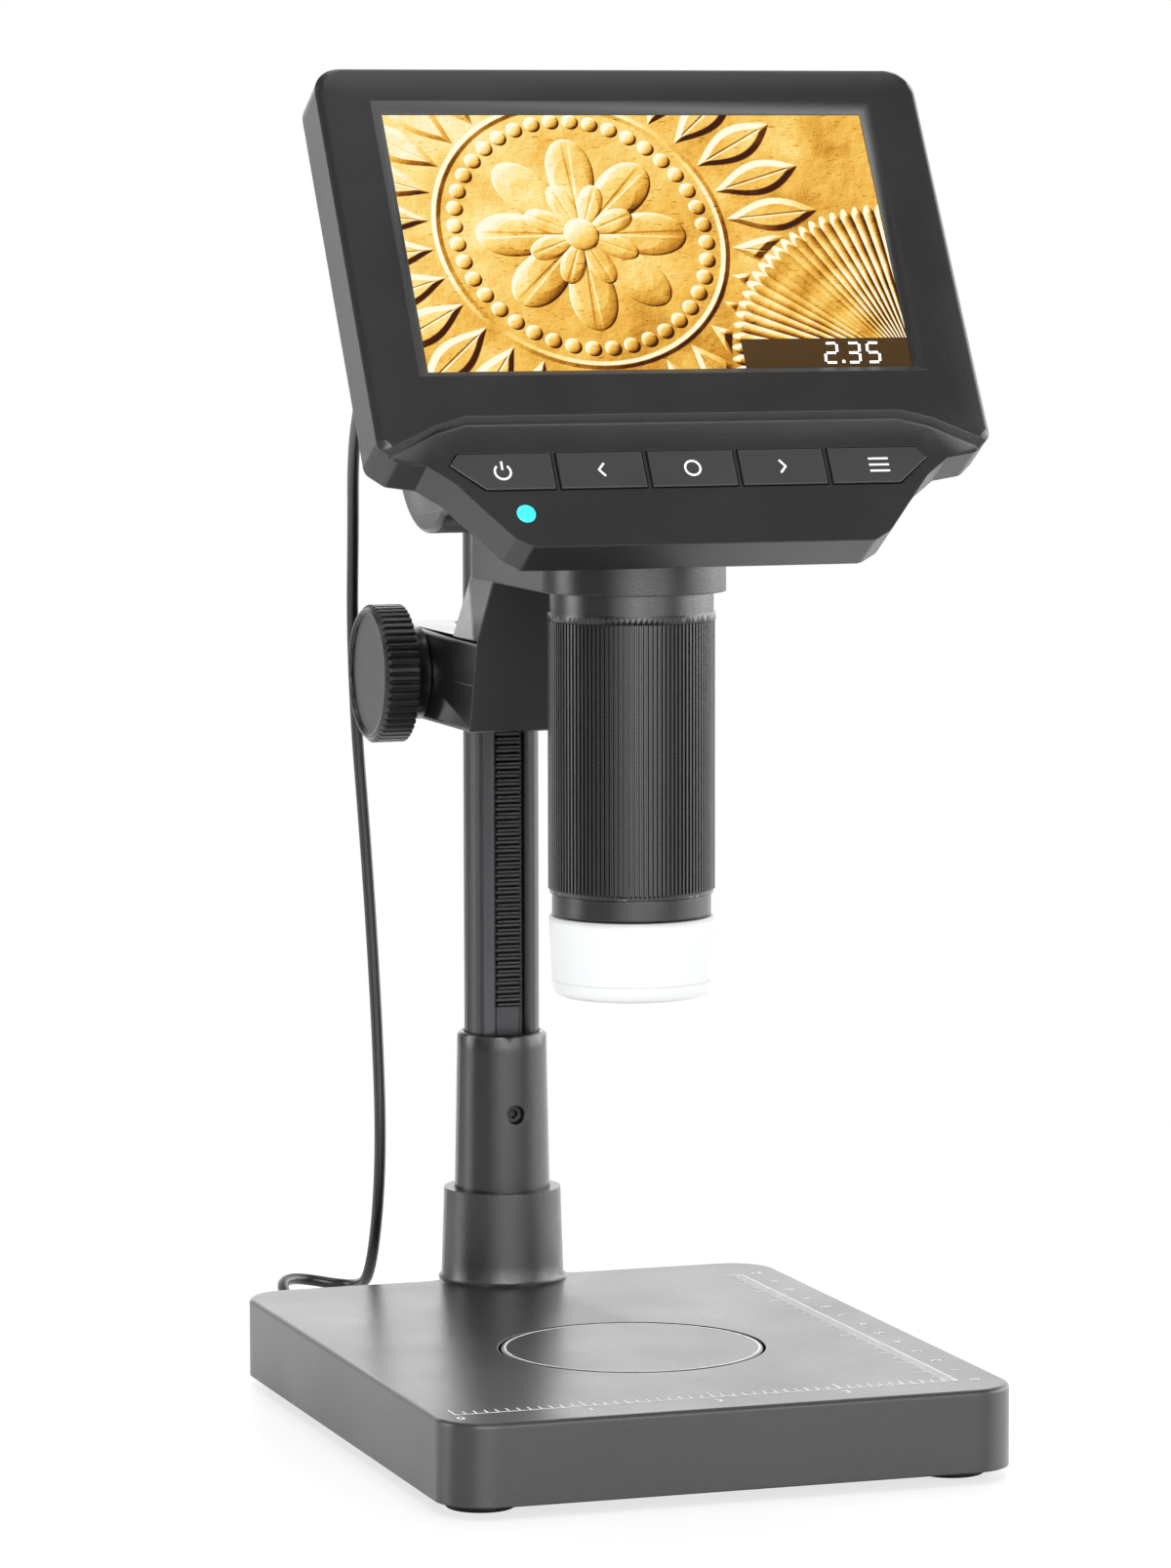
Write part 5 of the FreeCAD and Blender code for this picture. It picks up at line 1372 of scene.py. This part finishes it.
@dataclass
class Studio:
    """The pale floor, the world, the lamps and the camera.

    The camera's focal length is in pixels of the frame's width. The bands are pairs of an angle in
    degrees, from the camera's side, and a level from 0 to 1.
    """

    place: tuple[float, float, float] = (-0.39165, -1.15323, 0.24864)
    heading: float = 0.3244
    dip: float = 0.0995
    roll: float = -0.0019
    focal: float = 6391.7
    frame_width: float = 1200.0
    floor_size: float = 3.0
    soft_power: float = 0.17
    band_power: float = 8.0
    bands: tuple[tuple[int, float], ...] = (
        (-180, 0.24), (-166, 0.34), (-152, 0.16), (-122, 0.06), (-106, 0.1), (-98, 0.9), (-86, 0.8),
        (-74, 0.03), (-34, 0.02), (-14, 0.4), (6, 0.8), (20, 0.64), (34, 0.6), (46, 0.4), (60, 0.15),
        (88, 0.8), (115, 0.8), (138, 0.4), (160, 0.24), (180, 0.24),
    )
    aim: tuple[float, float, float] = (0, 0, 0.1)

    def camera(self) -> None:
        """Stand the camera where the photograph was taken from."""
        lens = bpy.data.cameras.new("camera")
        lens.sensor_fit = "HORIZONTAL"
        lens.sensor_width = 36.0
        lens.lens = self.focal * lens.sensor_width / self.frame_width
        ahead = Vector((math.sin(self.heading) * math.cos(self.dip),
                        math.cos(self.heading) * math.cos(self.dip), -math.sin(self.dip)))
        right = Vector((math.cos(self.heading), -math.sin(self.heading), 0))
        up = right.cross(ahead)
        tilted = right * math.cos(self.roll) + up * math.sin(self.roll)
        up = tilted.cross(ahead)
        turn = Matrix((tilted, up, -ahead)).transposed().to_4x4()
        holder = bpy.data.objects.new("camera", lens)
        bpy.context.scene.collection.objects.link(holder)
        holder.matrix_world = Matrix.Translation(self.place) @ turn
        bpy.context.scene.camera = holder

    def world(self) -> None:
        """White behind the object, and upright bands of light round it for its gloss."""
        world = bpy.data.worlds.new("studio")
        bpy.context.scene.world = world
        world.use_nodes = True
        tree = Tree(world.node_tree)
        world.node_tree.nodes.clear()
        way = tree.node("ShaderNodeTexCoord", output="Generated")
        turned = tree.node("ShaderNodeMapping", {}, {"Vector": way, "Rotation": (0.0, 0.0, self.heading)})
        split = tree.node("ShaderNodeSeparateXYZ", {}, {0: turned}).socket.node.outputs
        x, y, z = (Sock(tree, split[i]) for i in range(3))
        round_about = x.maths("ARCTAN2", y * -1.0) / (2 * math.pi) + 0.5
        ramp = tree.node("ShaderNodeValToRGB", {}, {0: round_about})
        bar = ramp.socket.node.color_ramp
        for _ in self.bands[2:]:
            bar.elements.new(0.5)
        for element, (degrees, level) in zip(bar.elements, self.bands):
            element.position = degrees / 360 + 0.5
            element.color = (level, level, level, 1.0)
        low = 1.0 - z.maths("ABSOLUTE").ramp(0.25, 0.8)
        rays = tree.node("ShaderNodeLightPath").socket.node.outputs
        seen = Sock(tree, rays["Is Camera Ray"]).maths("MAXIMUM", Sock(tree, rays["Is Transmission Ray"]))
        gloss = Sock(tree, rays["Is Glossy Ray"])
        around = self.soft_power + gloss * ramp * low * self.band_power
        strength = around * (1.0 - seen) + seen
        ground = tree.node("ShaderNodeBackground", {}, {"Color": (1, 1, 1, 1), "Strength": strength})
        tree.node("ShaderNodeOutputWorld", {}, {"Surface": ground})

    def floor(self) -> None:
        """A pale floor that fades into the background."""
        half = self.floor_size
        mesh = bpy.data.meshes.new("floor")
        mesh.from_pydata([(-half, -half, 0), (half, -half, 0), (half, half, 0), (-half, half, 0)], [],
                         [(0, 1, 2, 3)])
        piece = bpy.data.objects.new("floor", mesh)
        bpy.context.scene.collection.objects.link(piece)
        s = Surface("floor_paper")
        where = s.place()
        reach = s.node("ShaderNodeVectorMath", {"operation": "LENGTH"}, {0: where}, "Value")
        rays = s.node("ShaderNodeLightPath").socket.node.outputs
        fade = (reach.ramp(0.1, 0.34) * 0.25 + 0.75) * Sock(s, rays["Is Camera Ray"])
        paper = s.node("ShaderNodeBsdfPrincipled", {}, {
            "Base Color": (0.93, 0.93, 0.93, 1), "Roughness": 0.32, "Specular IOR Level": 0.4})
        white = s.node("ShaderNodeEmission", {}, {"Color": (1, 1, 1, 1), "Strength": 1.0})
        both = s.node("ShaderNodeMixShader", {}, {0: fade, 1: paper, 2: white})
        s.node("ShaderNodeOutputMaterial", {}, {"Surface": both})
        mesh.materials.append(s.material)

    def build(self) -> None:
        """Set the whole studio."""
        self.camera()
        self.world()
        self.floor()
        lamps = (Softbox("left_box", (-1.1, -0.5, 0.7), (0, 0, 0.13), (0.7, 1.1), 1.7),
                 Softbox("top_box", (0.1, 0.1, 1.3), self.aim, (1.0, 1.0), 5.0),
                 Softbox("fill_box", (0.1, 0.1, 1.4), self.aim, (1.0, 1.0), 22.0, seen=False),
                 Softbox("front_box", (-0.3, -1.5, 0.9), self.aim, (1.2, 0.7), 11.0))
        for lamp in lamps:
            lamp.build()
        settings = bpy.context.scene.view_settings
        settings.view_transform = "Standard"


def main() -> None:
    """Dress the whole microscope and light it."""
    logging.basicConfig(level=logging.INFO, format="%(name)s: %(message)s")
    palette = Palette()
    Stand().build(palette)
    Carriage().build(palette)
    Head().build(palette)
    SignalCord().build(palette)
    Studio().build()


if __name__ == "__main__":
    main()
